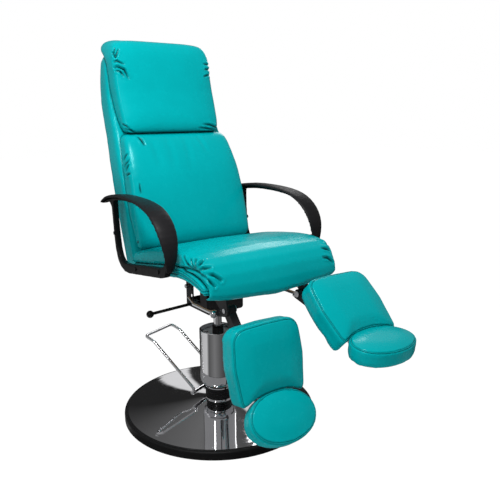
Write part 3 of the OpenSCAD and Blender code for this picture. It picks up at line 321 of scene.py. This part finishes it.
for subpart in frame["record"]["subparts"]:
    data = NODES[subpart["node"]].data
    data.materials.clear()
    data.materials.append(MATERIALS[subpart["material_slot"]])

# The board behind the shell is covered too
NODES["back_board"].data.materials[0] = MATERIALS["leatherette"]

# Mesh helpers


def added(name, data):
    thing = bpy.data.objects.new(name, data)
    SCENE.collection.objects.link(thing)
    return thing


def put_mesh(name, verts, faces):
    """A new object from plain vertices and faces."""
    mesh = bpy.data.meshes.new(name)
    mesh.from_pydata([tuple(map(float, v)) for v in verts], [], faces)
    mesh.update()
    return added(name, mesh)


def dress(piece, slot, body, material=None):
    """Gives a piece its material and body; the material is the slot's unless named."""
    piece.data.materials.clear()
    piece.data.materials.append(MATERIALS[material or slot])
    piece.data.shade_smooth()
    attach(piece, body)


def read(mesh, key):
    values = np.empty(len(mesh.vertices) * 3)
    mesh.vertices.foreach_get(key, values)
    return values.reshape(-1, 3)


def coords(mesh):
    return read(mesh, "co")


def normals(mesh):
    return read(mesh, "normal")


def set_coords(mesh, co):
    mesh.vertices.foreach_set("co", np.ascontiguousarray(co).ravel())
    mesh.update()


def rows(piece):
    """The piece's triangles as rows of three vertex numbers."""
    mesh = piece.data
    mesh.calc_loop_triangles()
    tri = np.empty(len(mesh.loop_triangles) * 3, np.int32)
    mesh.loop_triangles.foreach_get("vertices", tri)
    return tri.reshape(-1, 3)


def tree_of(points):
    tree = KDTree(len(points))
    for i, p in enumerate(points):
        tree.insert(Vector(p), i)
    tree.balance()
    return tree


def surface_of(piece):
    return BVHTree.FromPolygons([Vector(v) for v in coords(piece.data)], rows(piece).tolist())


def ease(value, start, end):
    """0 up to start, 1 from end on, smooth between."""
    t = np.clip((value - start) / (end - start), 0, 1)
    return t * t * (3 - 2 * t)


def applied(piece):
    """Turns the piece's modifiers into its mesh."""
    graph = bpy.context.evaluated_depsgraph_get()
    mesh = bpy.data.meshes.new_from_object(piece.evaluated_get(graph))
    piece.modifiers.clear()
    old, piece.data = piece.data, mesh
    mesh.name = piece.name
    bpy.data.meshes.remove(old)


def remeshed(name, node, voxel, smooth):
    """A new object with the node's form, evenly meshed and with softened edges."""
    mesh = NODES[node].data.copy()
    piece = added(name, mesh)
    work = bmesh.new()
    work.from_mesh(mesh)
    bmesh.ops.remove_doubles(work, verts=work.verts, dist=1e-5)
    work.to_mesh(mesh)
    work.free()
    remesh = piece.modifiers.new("remesh", "REMESH")
    remesh.mode = "VOXEL"
    remesh.voxel_size = voxel
    remesh.adaptivity = 0
    remesh.use_smooth_shade = True
    soften = piece.modifiers.new("smooth", "SMOOTH")
    soften.factor = 0.5
    soften.iterations = smooth
    applied(piece)
    return piece


def subdivided(piece):
    mod = piece.modifiers.new("subdivide", "SUBSURF")
    mod.levels = mod.render_levels = 1
    applied(piece)


PILLOW_VOXEL, PILLOW_SMOOTH, PILLOW_FRAMES = 0.012, 2, 10
PILLOW_PRESSURE, PILLOW_STIFFNESS, PILLOW_BENDING = 4, 12, 0.4


def pillow(node):
    """Swells a coarse copy of the node in a cloth simulation.
    Gives its points and how far each came out, with 1 as the mean."""
    piece = remeshed("trial", node, PILLOW_VOXEL, PILLOW_SMOOTH)
    start, out = coords(piece.data), normals(piece.data)
    cloth = piece.modifiers.new("cloth", "CLOTH")
    cloth.settings.quality = 4
    cloth.settings.use_pressure = True
    cloth.settings.uniform_pressure_force = PILLOW_PRESSURE
    cloth.settings.tension_stiffness = PILLOW_STIFFNESS
    cloth.settings.compression_stiffness = PILLOW_STIFFNESS
    cloth.settings.bending_stiffness = PILLOW_BENDING
    cloth.settings.effector_weights.gravity = 0
    cloth.point_cache.frame_start, cloth.point_cache.frame_end = 1, PILLOW_FRAMES
    for step in range(1, PILLOW_FRAMES + 1):
        SCENE.frame_set(step)
    graph = bpy.context.evaluated_depsgraph_get()
    moved = coords(piece.evaluated_get(graph).data)
    SCENE.frame_set(1)
    mesh = piece.data
    bpy.data.objects.remove(piece)
    bpy.data.meshes.remove(mesh)
    amount = np.maximum(((moved - start) * out).sum(1), 0)
    return start, np.clip(amount / max(amount.mean(), 1e-7), 0, 2)


NEAREST, NEAR = 5, 0.004


def inflated(piece, node, swell, keep=None):
    """Swells the piece by about swell, with the uneven swell of the simulated coarse copy.
    keep(points) gives 1 where the piece lies on something and doesn't move, else 0."""
    start = coords(piece.data)
    free = 1 - keep(start) if keep else np.ones(len(start))
    share = np.ones(len(start))
    points, amount = pillow(node)
    tree = tree_of(points)
    for v, p in enumerate(start):
        near = tree.find_n(Vector(p), NEAREST)
        weight = np.array([1 / (d + NEAR) for _, _, d in near])
        share[v] = (weight * amount[[i for _, i, _ in near]]).sum() / weight.sum()
    set_coords(piece.data, start + normals(piece.data) * (swell * free * (0.5 + 0.5 * share))[:, None])


FEWEST_POINTS = 40


def level_lines(piece, value, level):
    """Points along the lines where value (one per vertex) is level, as (points, normals, closed)."""
    co, nrm, tri = coords(piece.data), normals(piece.data), rows(piece)
    above = value[tri] > level
    cut = np.where(above.any(1) & ~above.all(1))[0]
    place, links = {}, {}
    for t in cut:
        ends = []
        for a, b in ((0, 1), (1, 2), (2, 0)):
            i, j = int(tri[t, a]), int(tri[t, b])
            if (value[i] > level) != (value[j] > level):
                key = (min(i, j), max(i, j))
                if key not in place:
                    w = (level - value[key[0]]) / (value[key[1]] - value[key[0]])
                    place[key] = (
                        co[key[0]] * (1 - w) + co[key[1]] * w,
                        nrm[key[0]] * (1 - w) + nrm[key[1]] * w,
                    )
                ends.append(key)
        links.setdefault(ends[0], []).append(ends[1])
        links.setdefault(ends[1], []).append(ends[0])
    lines, seen = [], set()
    starts = [k for k in links if len(links[k]) == 1] + list(links)
    for first in starts:
        if first in seen:
            continue
        chain, at = [first], first
        seen.add(first)
        while True:
            following = [k for k in links[at] if k not in seen]
            if not following:
                break
            at = following[0]
            seen.add(at)
            chain.append(at)
        if len(chain) >= FEWEST_POINTS:
            closed = len(links[first]) == 2 and chain[-1] in links[first]
            lines.append((
                np.array([place[k][0] for k in chain]),
                np.array([place[k][1] for k in chain]),
                closed,
            ))
    return lines


def evened(points, closed, step, rounds=3):
    """The line with even steps, smoothed by some rounds."""
    p = np.asarray(points, float)
    if closed:
        p = np.vstack([p, p[:1]])
    run = np.concatenate([[0], np.cumsum(np.linalg.norm(np.diff(p, axis=0), axis=1))])
    count = max(int(run[-1] / step), 4)
    at = np.linspace(0, run[-1], count + 1)
    out = np.stack([np.interp(at, run, p[:, i]) for i in range(p.shape[1])], 1)
    if closed:
        out = out[:-1]
    for _ in range(rounds):
        if closed:
            out = 0.5 * out + 0.25 * (np.roll(out, 1, 0) + np.roll(out, -1, 0))
        else:
            out[1:-1] = 0.5 * out[1:-1] + 0.25 * (out[:-2] + out[2:])
    return out


TUBE_SIDES = 8


def tube(points, closed, radius, start):
    """Vertices and faces of a round tube along points; its vertices are numbered from start."""
    p = np.asarray(points, float)
    n = len(p)
    along = np.roll(p, -1, 0) - np.roll(p, 1, 0) if closed else np.gradient(p, axis=0)
    along /= np.linalg.norm(along, axis=1)[:, None]
    side = np.cross(along[0], (0.0, 0.0, 1.0))
    if np.linalg.norm(side) < 0.1:
        side = np.cross(along[0], (1.0, 0.0, 0.0))
    frames = []
    for t in along:
        side = side - t * side.dot(t)
        side /= np.linalg.norm(side)
        frames.append((side.copy(), np.cross(t, side)))
    turn = 0.0
    if closed:
        last = frames[-1][0] - along[0] * frames[-1][0].dot(along[0])
        turn = math.atan2(last.dot(frames[0][1]), last.dot(frames[0][0]))
    verts, faces = [], []
    for i, (a, b) in enumerate(frames):
        lag = -turn * i / n
        for k in range(TUBE_SIDES):
            phi = 2 * math.pi * k / TUBE_SIDES + lag
            verts.append(p[i] + radius * (a * math.cos(phi) + b * math.sin(phi)))
    for i in range(n if closed else n - 1):
        ring, following = start + i * TUBE_SIDES, start + (i + 1) % n * TUBE_SIDES
        for k in range(TUBE_SIDES):
            m = (k + 1) % TUBE_SIDES
            faces.append((ring + k, ring + m, following + m, following + k))
    if not closed:
        faces.append(tuple(start + k for k in range(TUBE_SIDES))[::-1])
        faces.append(tuple(start + (n - 1) * TUBE_SIDES + k for k in range(TUBE_SIDES)))
    return verts, faces


PIPING_STEP = 0.004


def piping(name, lines, radius, body, out, slot="leatherette", material="piping"):
    """One piece made of round piping along the lines of level_lines, out from the surface.
    Gives the piping's paths."""
    verts, faces, paths = [], [], []
    for points, nrm, closed in lines:
        both = evened(np.hstack([points, nrm]), closed, PIPING_STEP)
        path = both[:, :3] + both[:, 3:] / np.linalg.norm(both[:, 3:], axis=1)[:, None] * out
        v, f = tube(path, closed, radius, len(verts))
        verts += v
        faces += f
        paths.append(path)
    dress(put_mesh(name, verts, faces), slot, body, material)
    return paths


def shade_marks(mesh):
    """How much painted shade each vertex has, from 0 to 1."""
    layer = mesh.attributes.get(SHADE_LAYER) or mesh.attributes.new(SHADE_LAYER, "FLOAT", "POINT")
    values = np.zeros(len(mesh.vertices))
    layer.data.foreach_get("value", values)
    return values


def set_shade_marks(mesh, values):
    mesh.attributes[SHADE_LAYER].data.foreach_set("value", np.clip(values, 0, 1))


def paint_contact_shade(piece, other, reach, dark):
    """Paints shade on the piece where it comes within reach of the other piece."""
    others = coords(other.data)
    co = coords(piece.data)
    lo, hi = others.min(0) - reach, others.max(0) + reach
    ids = np.where(((co > lo) & (co < hi)).all(1))[0]
    lo, hi = co.min(0) - reach, co.max(0) + reach
    others = others[((others > lo) & (others < hi)).all(1)]
    if not len(ids) or not len(others):
        return
    tree = tree_of(others)
    value = shade_marks(piece.data)
    for v in ids:
        gap = tree.find(Vector(co[v]))[2]
        if gap < reach:
            value[v] = max(value[v], dark * (1 - gap / reach))
    set_shade_marks(piece.data, value)


GROOVE_STEP, GROOVE_REACH = 0.002, 4
# The last is the width of the painted shade along a groove, as a share of its width
LIP_PLACE, LIP_WIDTH, SHADE_LINE_WIDTH = 1.9, 0.9, 0.8


def pressed(piece, paths, depth, width, lip, dark, taper=False):
    """Presses a groove along each path into the piece, with raised lips beside it.
    dark is how much painted shade goes along its bottom; with taper it runs out towards the path's end.
    The lips' place and width, and the painted shade's, are shares of the groove's width."""
    points, weight = [], []
    for path in paths:
        p = evened(path, False, GROOVE_STEP, 0)
        share = np.linspace(0, 1, len(p))
        points += list(p)
        weight += list(np.sin(math.pi * (0.12 + 0.88 * share)) ** 0.7 if taper else np.ones(len(p)))
    tree = tree_of(points)
    value = shade_marks(piece.data)
    co, nrm = coords(piece.data), normals(piece.data)
    reach = GROOVE_REACH * width
    lo, hi = np.min(points, 0) - reach, np.max(points, 0) + reach
    for v in np.where(((co > lo) & (co < hi)).all(1))[0]:
        _, i, d = tree.find(Vector(co[v]))
        if d > reach:
            continue
        x = d / width
        push = -depth * math.exp(-x * x) + lip * math.exp(-((x - LIP_PLACE) / LIP_WIDTH) ** 2)
        co[v] += nrm[v] * push * weight[i]
        value[v] = max(value[v], dark * math.exp(-(x / SHADE_LINE_WIDTH) ** 2) * weight[i])
    set_coords(piece.data, co)
    set_shade_marks(piece.data, value)


# Seat, back and head

# Folds of the leatherette: width and depth in mm, then points in the seat's frame in metres
HEAD_FOLDS = [
    (5, 3.0, [(-0.190, 0.236, 0.806), (-0.186, 0.227, 0.787), (-0.173, 0.218, 0.815)]),
    (4, 2.2, [(-0.190, 0.243, 0.800), (-0.184, 0.236, 0.808), (-0.177, 0.241, 0.826)]),
    (5, 3.0, [(-0.191, 0.232, 0.772), (-0.186, 0.218, 0.773), (-0.164, 0.206, 0.759)]),
    (6, 4.5, [(-0.192, 0.228, 0.752), (-0.188, 0.216, 0.753), (-0.168, 0.205, 0.741),
              (-0.156, 0.201, 0.707)]),
    (5, 3.0, [(-0.191, 0.224, 0.741), (-0.183, 0.210, 0.736), (-0.170, 0.204, 0.716)]),
    (5, 2.5, [(0.189, 0.220, 0.772), (0.169, 0.209, 0.774), (0.150, 0.205, 0.774)]),
    (5, 3.0, [(0.190, 0.218, 0.756), (0.170, 0.207, 0.755), (0.150, 0.203, 0.754)]),
    (5, 2.5, [(0.190, 0.216, 0.736), (0.161, 0.203, 0.732), (0.141, 0.200, 0.725)]),
    (6, 3.0, [(0.176, 0.192, 0.536), (0.162, 0.188, 0.540), (0.138, 0.183, 0.547), (0.106, 0.180, 0.550)]),
    (5, 2.0, [(0.160, 0.192, 0.533), (0.126, 0.186, 0.535), (0.085, 0.182, 0.538)]),
    (5, 2.5, [(-0.190, 0.224, 0.560), (-0.184, 0.212, 0.552), (-0.172, 0.200, 0.541)]),
    (5, 3.0, [(-0.184, 0.213, 0.543), (-0.175, 0.195, 0.535), (-0.156, 0.198, 0.526)]),
]
BACK_FOLDS = [
    (7, 2.6, [(-0.156, 0.186, 0.511), (-0.150, 0.177, 0.501), (-0.144, 0.165, 0.477)]),
    (12, 2.6, [(-0.117, 0.176, 0.502), (-0.108, 0.157, 0.461), (-0.104, 0.136, 0.397)]),
    (12, 2.4, [(-0.054, 0.176, 0.503), (-0.049, 0.152, 0.452), (-0.054, 0.131, 0.380)]),
    (12, 2.2, [(0.017, 0.174, 0.501), (0.018, 0.151, 0.449), (0.009, 0.129, 0.376)]),
    (9, 2.6, [(0.074, 0.184, 0.512), (0.085, 0.165, 0.484), (0.096, 0.149, 0.442)]),
    (5, 3.0, [(-0.222, 0.190, 0.436), (-0.213, 0.179, 0.448), (-0.206, 0.168, 0.456)]),
    (5, 3.0, [(-0.222, 0.180, 0.412), (-0.215, 0.168, 0.425), (-0.208, 0.161, 0.436)]),
    (5, 2.6, [(-0.218, 0.179, 0.398), (-0.217, 0.165, 0.410), (-0.213, 0.156, 0.419)]),
    (5, 2.6, [(-0.219, 0.177, 0.381), (-0.219, 0.156, 0.386), (-0.216, 0.147, 0.385)]),
    (4, 2.0, [(-0.196, 0.132, 0.349), (-0.197, 0.130, 0.332), (-0.196, 0.127, 0.315)]),
    (5, 3.0, [(-0.222, 0.170, 0.140), (-0.222, 0.149, 0.153), (-0.220, 0.135, 0.160)]),
]
SEAT_FOLDS = [
    (5, 4.0, [(-0.244, -0.204, 0.122), (-0.246, -0.225, 0.099), (-0.242, -0.263, 0.083)]),
    (5, 3.5, [(-0.243, -0.240, 0.114), (-0.245, -0.254, 0.097), (-0.242, -0.266, 0.082)]),
    (5, 3.5, [(-0.232, -0.253, 0.114), (-0.243, -0.266, 0.101), (-0.242, -0.266, 0.083)]),
    (6, 4.5, [(-0.220, -0.272, 0.109), (-0.237, -0.280, 0.099), (-0.242, -0.270, 0.085)]),
    (6, 4.5, [(-0.217, -0.301, 0.088), (-0.235, -0.295, 0.088), (-0.241, -0.274, 0.079)]),
    (6, 5.0, [(-0.196, -0.318, 0.049), (-0.215, -0.311, 0.067), (-0.238, -0.300, 0.069)]),
    (5, 4.5, [(-0.220, -0.319, 0.035), (-0.232, -0.314, 0.051), (-0.238, -0.299, 0.066)]),
    (5, 5.0, [(-0.246, -0.190, 0.085), (-0.244, -0.222, 0.087), (-0.241, -0.265, 0.080),
              (-0.239, -0.295, 0.067), (-0.236, -0.308, 0.057)]),
    (6, 4.0, [(0.240, -0.288, 0.092), (0.231, -0.286, 0.097), (0.228, -0.269, 0.108),
              (0.215, -0.260, 0.113)]),
    (6, 4.0, [(0.234, -0.300, 0.075), (0.219, -0.304, 0.081), (0.196, -0.301, 0.089)]),
    (6, 3.5, [(0.226, -0.319, 0.038), (0.208, -0.317, 0.054), (0.184, -0.316, 0.060)]),
    (5, 3.0, [(-0.248, 0.086, 0.124), (-0.240, 0.080, 0.128), (-0.225, 0.078, 0.132)]),
]


def snapped(surface, points):
    """The points moved along the camera's view onto the surface."""
    out = []
    for p in SEAT.world(points):
        hit = surface.ray_cast(eye, (Vector(p) - eye).normalized())[0]
        out.append(hit if hit is not None else surface.find_nearest(Vector(p))[0])
    return np.array(out)


FOLD_SHARP_BELOW = 8


def fold(piece, folds, more=1.0):
    """Presses the folds in: those narrower than FOLD_SHARP_BELOW (mm) as creases with painted shade
    between lips, the others as soft hollows."""
    surface = surface_of(piece)
    for width, depth, points in folds:
        if width < FOLD_SHARP_BELOW:
            deep, wide, lip, dark = 1.3 * more, 0.75, 0.6, 0.95
        else:
            deep, wide, lip, dark = 0.55, 1.0, 0.2, 0.0
        pressed(piece, [snapped(surface, points)], depth * deep * MM, width * wide * MM,
                depth * lip * MM, dark, taper=True)


def soft(name, node, body, voxel, smooth, swell, keep=None, shape=None):
    """A swollen piece that replaces the soft node, formed by shape(points)."""
    piece = remeshed(name, node, voxel, smooth)
    inflated(piece, node, swell, keep)
    if shape:
        set_coords(piece.data, shape(coords(piece.data)))
    subdivided(piece)
    dress(piece, "leatherette", body)
    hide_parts(node)
    return piece


def lowest(place, depth):
    """Holds the points within depth of the lowest one in the frame."""
    def keep(points):
        height = place.local(points)[:, 2]
        return (height < height.min() + depth).astype(float)
    return keep


def rear_line(node, step=0.02):
    """The rearmost place of a node at each height in the seat's frame."""
    p = SEAT.local(coords(NODES[node].data))
    heights = np.arange(p[:, 2].min(), p[:, 2].max(), step)
    return heights, np.array([p[np.abs(p[:, 2] - z) < 2 * step, 1].max() for z in heights])


HEAD_LEAN = 0.011
SHELL_TOP, SHELL_LOWERED = 0.785, 0.50
REAR_Z, REAR_Y = rear_line("back_cushion")


# The forms below are in the seat's frame: X across, Y to the rear and Z up, in metres
def lean(points):
    """The head of the back stands a little to the left."""
    p = SEAT.local(points)
    p[:, 0] -= HEAD_LEAN * ease(p[:, 2], 0.48, 0.70)
    return SEAT.world(p)


def wrapped(points):
    """The head cushion's top is drawn over the shell's edge, most at its corners."""
    p = SEAT.local(points)
    rear = ease(p[:, 1], 0.215, 0.262)
    edge = ease(np.abs(p[:, 0]), 0.14, 0.185)
    corner = 0.45 + 0.55 * ease(np.abs(p[:, 0]), 0.09, 0.18)
    top = ease(p[:, 2], 0.775, 0.828)
    tuft = ease(-p[:, 0], 0.13, 0.185) * top * rear
    p[:, 1] += 0.058 * rear * top * corner + 0.018 * rear * edge * (1 - top) + 0.014 * tuft
    tip = rear * ease(-p[:, 0], 0.130, 0.180) * ease(p[:, 2], 0.760, 0.815)
    p[:, 1] += 0.018 * tip
    p[:, 2] += 0.010 * tuft + 0.018 * tip
    p[:, 0] += np.sign(p[:, 0]) * (0.007 * ease(np.abs(p[:, 0]), 0.12, 0.19) * ease(p[:, 2], 0.72, 0.80)
                                   + 0.004 * edge * rear * (1 - top)) - 0.005 * tuft
    p[:, 0] -= 0.006 * (1 - ease(p[:, 2], 0.52, 0.66))
    return lean(SEAT.world(p))


def broad_rear(points):
    """The back cushion's rear edges spread over the shell's edge."""
    p = SEAT.local(points)
    rear = ease(p[:, 1] - np.interp(p[:, 2], REAR_Z, REAR_Y), -0.03, -0.004)
    edge = ease(np.abs(p[:, 0]), 0.16, 0.21)
    high = ease(p[:, 2], 0.14, 0.26)
    p[:, 1] += 0.011 * rear * edge * high
    p[:, 0] += np.sign(p[:, 0]) * 0.004 * rear * edge * high
    return SEAT.world(p)


def lowered(points):
    """The shell's top stays under the head cushion that is drawn over it."""
    p = SEAT.local(points)
    over = np.maximum(p[:, 2] - SHELL_TOP, 0)
    p[:, 2] -= over * SHELL_LOWERED
    return lean(SEAT.world(p))


# Name, node, body, voxel, rounds of smoothing, swell, then what stays put and the form
seat_top = soft("seat_cushion_skin", "seat_cushion", "seat", 0.005, 4, 0.0021,
                keep=lowest(SEAT, 0.008))
fold(seat_top, SEAT_FOLDS, 1.25)
back_front = soft("back_cushion_skin", "back_cushion", "seat", 0.005, 4, 0.003, shape=broad_rear)
fold(back_front, BACK_FOLDS)
head = soft("head_cushion_skin", "head_cushion", "seat", 0.0045, 14, 0.0038, shape=wrapped)
fold(head, HEAD_FOLDS)
seat_band = soft("seat_band_skin", "seat_shell", "seat", 0.005, 3, 0.0006)
back_band = soft("back_band_skin", "back_shell", "seat", 0.006, 16, 0.0031, shape=lowered)


def share_up(piece, step=0.01):
    """How high each vertex lies between the piece's lowest and highest edge at its depth."""
    p = SEAT.local(coords(piece.data))
    depth, height = p[:, 1] / step, p[:, 2]
    slot = np.round(depth).astype(int)
    keys = np.unique(slot)
    low = np.interp(depth, keys, [height[slot == k].min() for k in keys])
    high = np.interp(depth, keys, [height[slot == k].max() for k in keys])
    return (height - low) / np.maximum(high - low, 1e-4)


band_share = share_up(seat_band)
for number, level in enumerate((0.30, 0.62)):
    lines = level_lines(seat_band, band_share, level)
    if lines:
        paths = piping(f"seat_piping_{number}", lines, 0.0016, "seat", 0.0004)
        # The groove beside each piping gets painted shade
        pressed(seat_band, paths, 0.0018, 0.003, 0.0, 0.5)

# Painted shade where pieces meet: piece, other piece, reach in metres, darkness
for piece, other, reach, dark in (
    (head, back_front, 0.013, 1.0),
    (back_front, head, 0.013, 1.0),
    (back_front, back_band, 0.005, 0.8),
    (head, back_band, 0.005, 0.8),
    (back_band, back_front, 0.006, 0.8),
    (back_band, head, 0.006, 0.8),
    (seat_top, seat_band, 0.006, 0.9),
    (seat_band, seat_top, 0.007, 0.9),
    (back_front, seat_top, 0.008, 0.7),
    (seat_top, back_front, 0.008, 0.5),
):
    paint_contact_shade(piece, other, reach, dark)

# Leg rests

# The calf pad's outline is nearly a rectangle and the foot pad's an ellipse, hence the powers
SEAM_HEIGHT = {"calf": 0.1715, "foot": 0.0725}
PAD_WIDER = {"calf": 0.055, "foot": 0.02}
RIM_POWER = {"calf": 5, "foot": 2}
RIM_DROP, PAD_REACH = 0.0072, 0.009


def drawn_over(part, place):
    """Widens a pad a little and draws its rim over the edge of the board under it.
    The two pads of a leg reach towards each other."""
    def shape(points):
        p = place.local(points)
        low, high = p.min(0), p.max(0)
        mid, half = (low + high) / 2, (high - low) / 2
        u, v = (p[:, 0] - mid[0]) / half[0], (p[:, 1] - mid[1]) / half[1]
        power = RIM_POWER[part]
        rim = ease((np.abs(u) ** power + np.abs(v) ** power) ** (1 / power), 0.88, 0.96)
        under = 1 - ease(p[:, 2], low[2] + 0.002, low[2] + 0.008)
        p[:, 2] -= RIM_DROP * rim * under
        p[:, 0] += (p[:, 0] - mid[0]) * PAD_WIDER[part]
        if part == "calf":
            p[:, 1] -= PAD_REACH * ease(-v, 0.3, 1.0) * np.clip(1 - u * u, 0, 1)
        else:
            p[:, 1] += PAD_REACH * ease(v, -0.6, 1.0)
        return place.world(p)
    return shape


for side in SIDE:
    for part, place in (("calf", calf_frame(side)), ("foot", foot_frame(side))):
        body = f"{part}_{side}"
        pad = soft(f"{part}_pad_skin_{side}", f"{part}_pad_{side}", body, 0.005, 3, 0.0023,
                   keep=lowest(place, 0.006), shape=drawn_over(part, place))
        lines = level_lines(pad, place.local(coords(pad.data))[:, 2], SEAM_HEIGHT[part])
        if lines:
            paths = piping(f"{part}_seam_{side}", lines, 0.0011, body, -0.0002)
            # The groove along the seam gets painted shade
            pressed(pad, paths, 0.0020, 0.0026, 0.0006, 0.8)

# Armrests and pedal

ARM_VOXEL = 0.0022
INLAY_PROUD = 0.8 * MM
SEAM_APART = 0.0024

for side in SIDE:
    loop = remeshed(f"armrest_loop_{side}", f"armrest_{side}", ARM_VOXEL, 20)
    dress(loop, "black_plastic", "seat")
    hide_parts(f"armrest_{side}")
    inlay = remeshed(f"armrest_inlay_{side}", f"armrest_pad_{side}", ARM_VOXEL, 6)
    set_coords(inlay.data, coords(inlay.data) + normals(inlay.data) * INLAY_PROUD)
    around = surface_of(loop)
    apart = np.array([around.find_nearest(Vector(v))[3] for v in coords(inlay.data)])
    lines = level_lines(inlay, apart, SEAM_APART)
    if lines:
        piping(f"armrest_seam_{side}", lines, 0.0017, "seat", 0.0004, "soft_inlay", "seam_black")
    dress(inlay, "soft_inlay", "seat")
    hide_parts(f"armrest_pad_{side}")

bar = remeshed("pedal_tube", "pedal_bar", 0.0016, 5)
dress(bar, "chrome", "pedal")
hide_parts("pedal_bar")

# Stage, lights and camera

lens = bpy.data.cameras.new("camera")
lens.sensor_width = SENSOR_WIDTH
lens.lens = FOCAL_LENGTH
axes = Matrix((
    to_right * math.cos(ROLL) + to_top * math.sin(ROLL),
    to_top * math.cos(ROLL) - to_right * math.sin(ROLL),
    to_camera,
))
camera = added("camera", lens)
camera.matrix_world = Matrix.Translation(eye) @ axes.transposed().to_4x4()
SCENE.camera = camera


def aimed(thing, place, aim, axis):
    """Puts a thing at place with its axis towards aim."""
    thing.location = place
    thing.rotation_mode = "QUATERNION"
    thing.rotation_quaternion = (Vector(aim) - Vector(place)).to_track_quat(axis, "Y")


def lamp(name, place, aim, size, power, tall=None):
    """A round lamp of a size, or one that is size wide and tall high."""
    light = bpy.data.lights.new(name, "AREA")
    light.shape = "RECTANGLE" if tall else "DISK"
    light.size = size
    if tall:
        light.size_y = tall
    light.energy = power
    aimed(added(name, light), place, aim, "-Z")


lamp("key", (-0.7, -0.85, 2.45), (0, 0.1, 1.0), 0.6, 32)
lamp("side", (-1.90, -0.85, 1.95), (0, 0, 1.1), 0.14, 9, 0.9)
lamp("rim", (1.6, 1.3, 2.0), (0, 0, 0.8), 0.8, 6)


def staged(name, mat, width, height):
    """A flat rectangle that belongs to the stage."""
    a, b = width / 2, height / 2
    thing = put_mesh(name, [(-a, -b, 0), (a, -b, 0), (a, b, 0), (-a, b, 0)], [(0, 1, 2, 3)])
    thing.data.materials.append(mat)
    return thing


def card(name, place, aim, width, height, stops=None):
    """A card that only reflections show: dark, or with sectors of grey round its middle."""
    mat = bpy.data.materials.new(name)
    t = Tree(mat)
    glow = t.new("ShaderNodeEmission", Color=(0.012, 0.012, 0.013, 1))
    if stops:
        t.link(t.greys_round(stops), glow.inputs["Color"])
    t.output("ShaderNodeOutputMaterial", glow.outputs[0])
    thing = staged(name, mat, width, height)
    aimed(thing, place, aim, "Z")
    thing.visible_camera = thing.visible_diffuse = False
    thing.visible_shadow = thing.visible_transmission = False


# What the dome mirrors: share of a turn round the card's middle, grey
SECTORS = [
    (0.00, 0.02), (0.10, 0.02), (0.11, 0.75), (0.17, 0.8), (0.18, 0.03), (0.30, 0.02), (0.31, 0.35),
    (0.38, 0.3), (0.39, 0.02), (0.55, 0.02), (0.56, 0.8), (0.64, 0.7), (0.65, 0.05), (0.80, 0.15),
    (0.90, 0.1), (1.0, 0.02),
]

DOME, CARD_AWAY = Vector((0, 0, 0.045)), 3.2
from_dome = (eye - DOME).normalized()
mirrored = Vector((-from_dome.x, -from_dome.y, from_dome.z))
card("sector_card", DOME + mirrored * CARD_AWAY, DOME, 4.2, 3.0, SECTORS)
card("side_card", (0.9, -2.4, 0.7), (0, 0, 0.3), 0.7, 1.6)

WHITE = (1, 1, 1, 1)
WORLD_LIGHT = 0.27


def make_world():
    """Plain light, and white for the camera and through glass."""
    SCENE.world = bpy.data.worlds.new("world")
    t = Tree(SCENE.world)
    path = t.new("ShaderNodeLightPath")
    seen = t.new("ShaderNodeMath", operation="MAXIMUM")
    t.link(path.outputs["Is Camera Ray"], seen.inputs[0])
    t.link(path.outputs["Is Transmission Ray"], seen.inputs[1])
    plain = t.new("ShaderNodeBackground", Color=WHITE, Strength=WORLD_LIGHT)
    white = t.new("ShaderNodeBackground", Color=WHITE, Strength=1.0)
    t.output("ShaderNodeOutputWorld", t.mixed(seen.outputs[0], plain.outputs[0], white.outputs[0]))


# What bright metal mirrors of the room near the floor: share of a turn round the pump, grey
ROOM = [
    (0.00, 0.10), (0.10, 0.20), (0.20, 0.10), (0.30, 0.03), (0.36, 0.30), (0.40, 0.03), (0.55, 0.02),
    (0.78, 0.02), (0.86, 0.55), (0.96, 0.60), (0.98, 0.30), (1.0, 0.10),
]

FLOOR_SIZE = 28
FLOOR_GLOW, FLOOR_GLOW_SHARE = 1.08, 0.92


def make_floor():
    """Pale and matt, mostly white to the camera, and the room's greys to mirrors."""
    mat = bpy.data.materials.new("floor")
    t = Tree(mat)
    grain = t.new("ShaderNodeTexNoise", Scale=6)
    t.link(t.new("ShaderNodeTexCoord").outputs["Object"], grain.inputs["Vector"])
    matt = t.new("ShaderNodeBsdfDiffuse")
    tone = t.ramp(grain.outputs["Fac"], [(0, (0.93, 0.93, 0.93)), (1, (0.95, 0.95, 0.95))])
    t.link(tone, matt.inputs["Color"])
    glow = t.new("ShaderNodeEmission", Strength=FLOOR_GLOW)
    path = t.new("ShaderNodeLightPath")
    share = t.new("ShaderNodeMath", operation="MULTIPLY")
    t.link(path.outputs["Is Camera Ray"], share.inputs[0])
    share.inputs[1].default_value = FLOOR_GLOW_SHARE
    seen = t.mixed(share.outputs[0], matt.outputs[0], glow.outputs[0])
    mirror = t.new("ShaderNodeEmission")
    t.link(t.greys_round(ROOM), mirror.inputs["Color"])
    t.output("ShaderNodeOutputMaterial", t.mixed(path.outputs["Is Glossy Ray"], seen, mirror.outputs[0]))
    staged("floor", mat, FLOOR_SIZE, FLOOR_SIZE)


make_world()
make_floor()
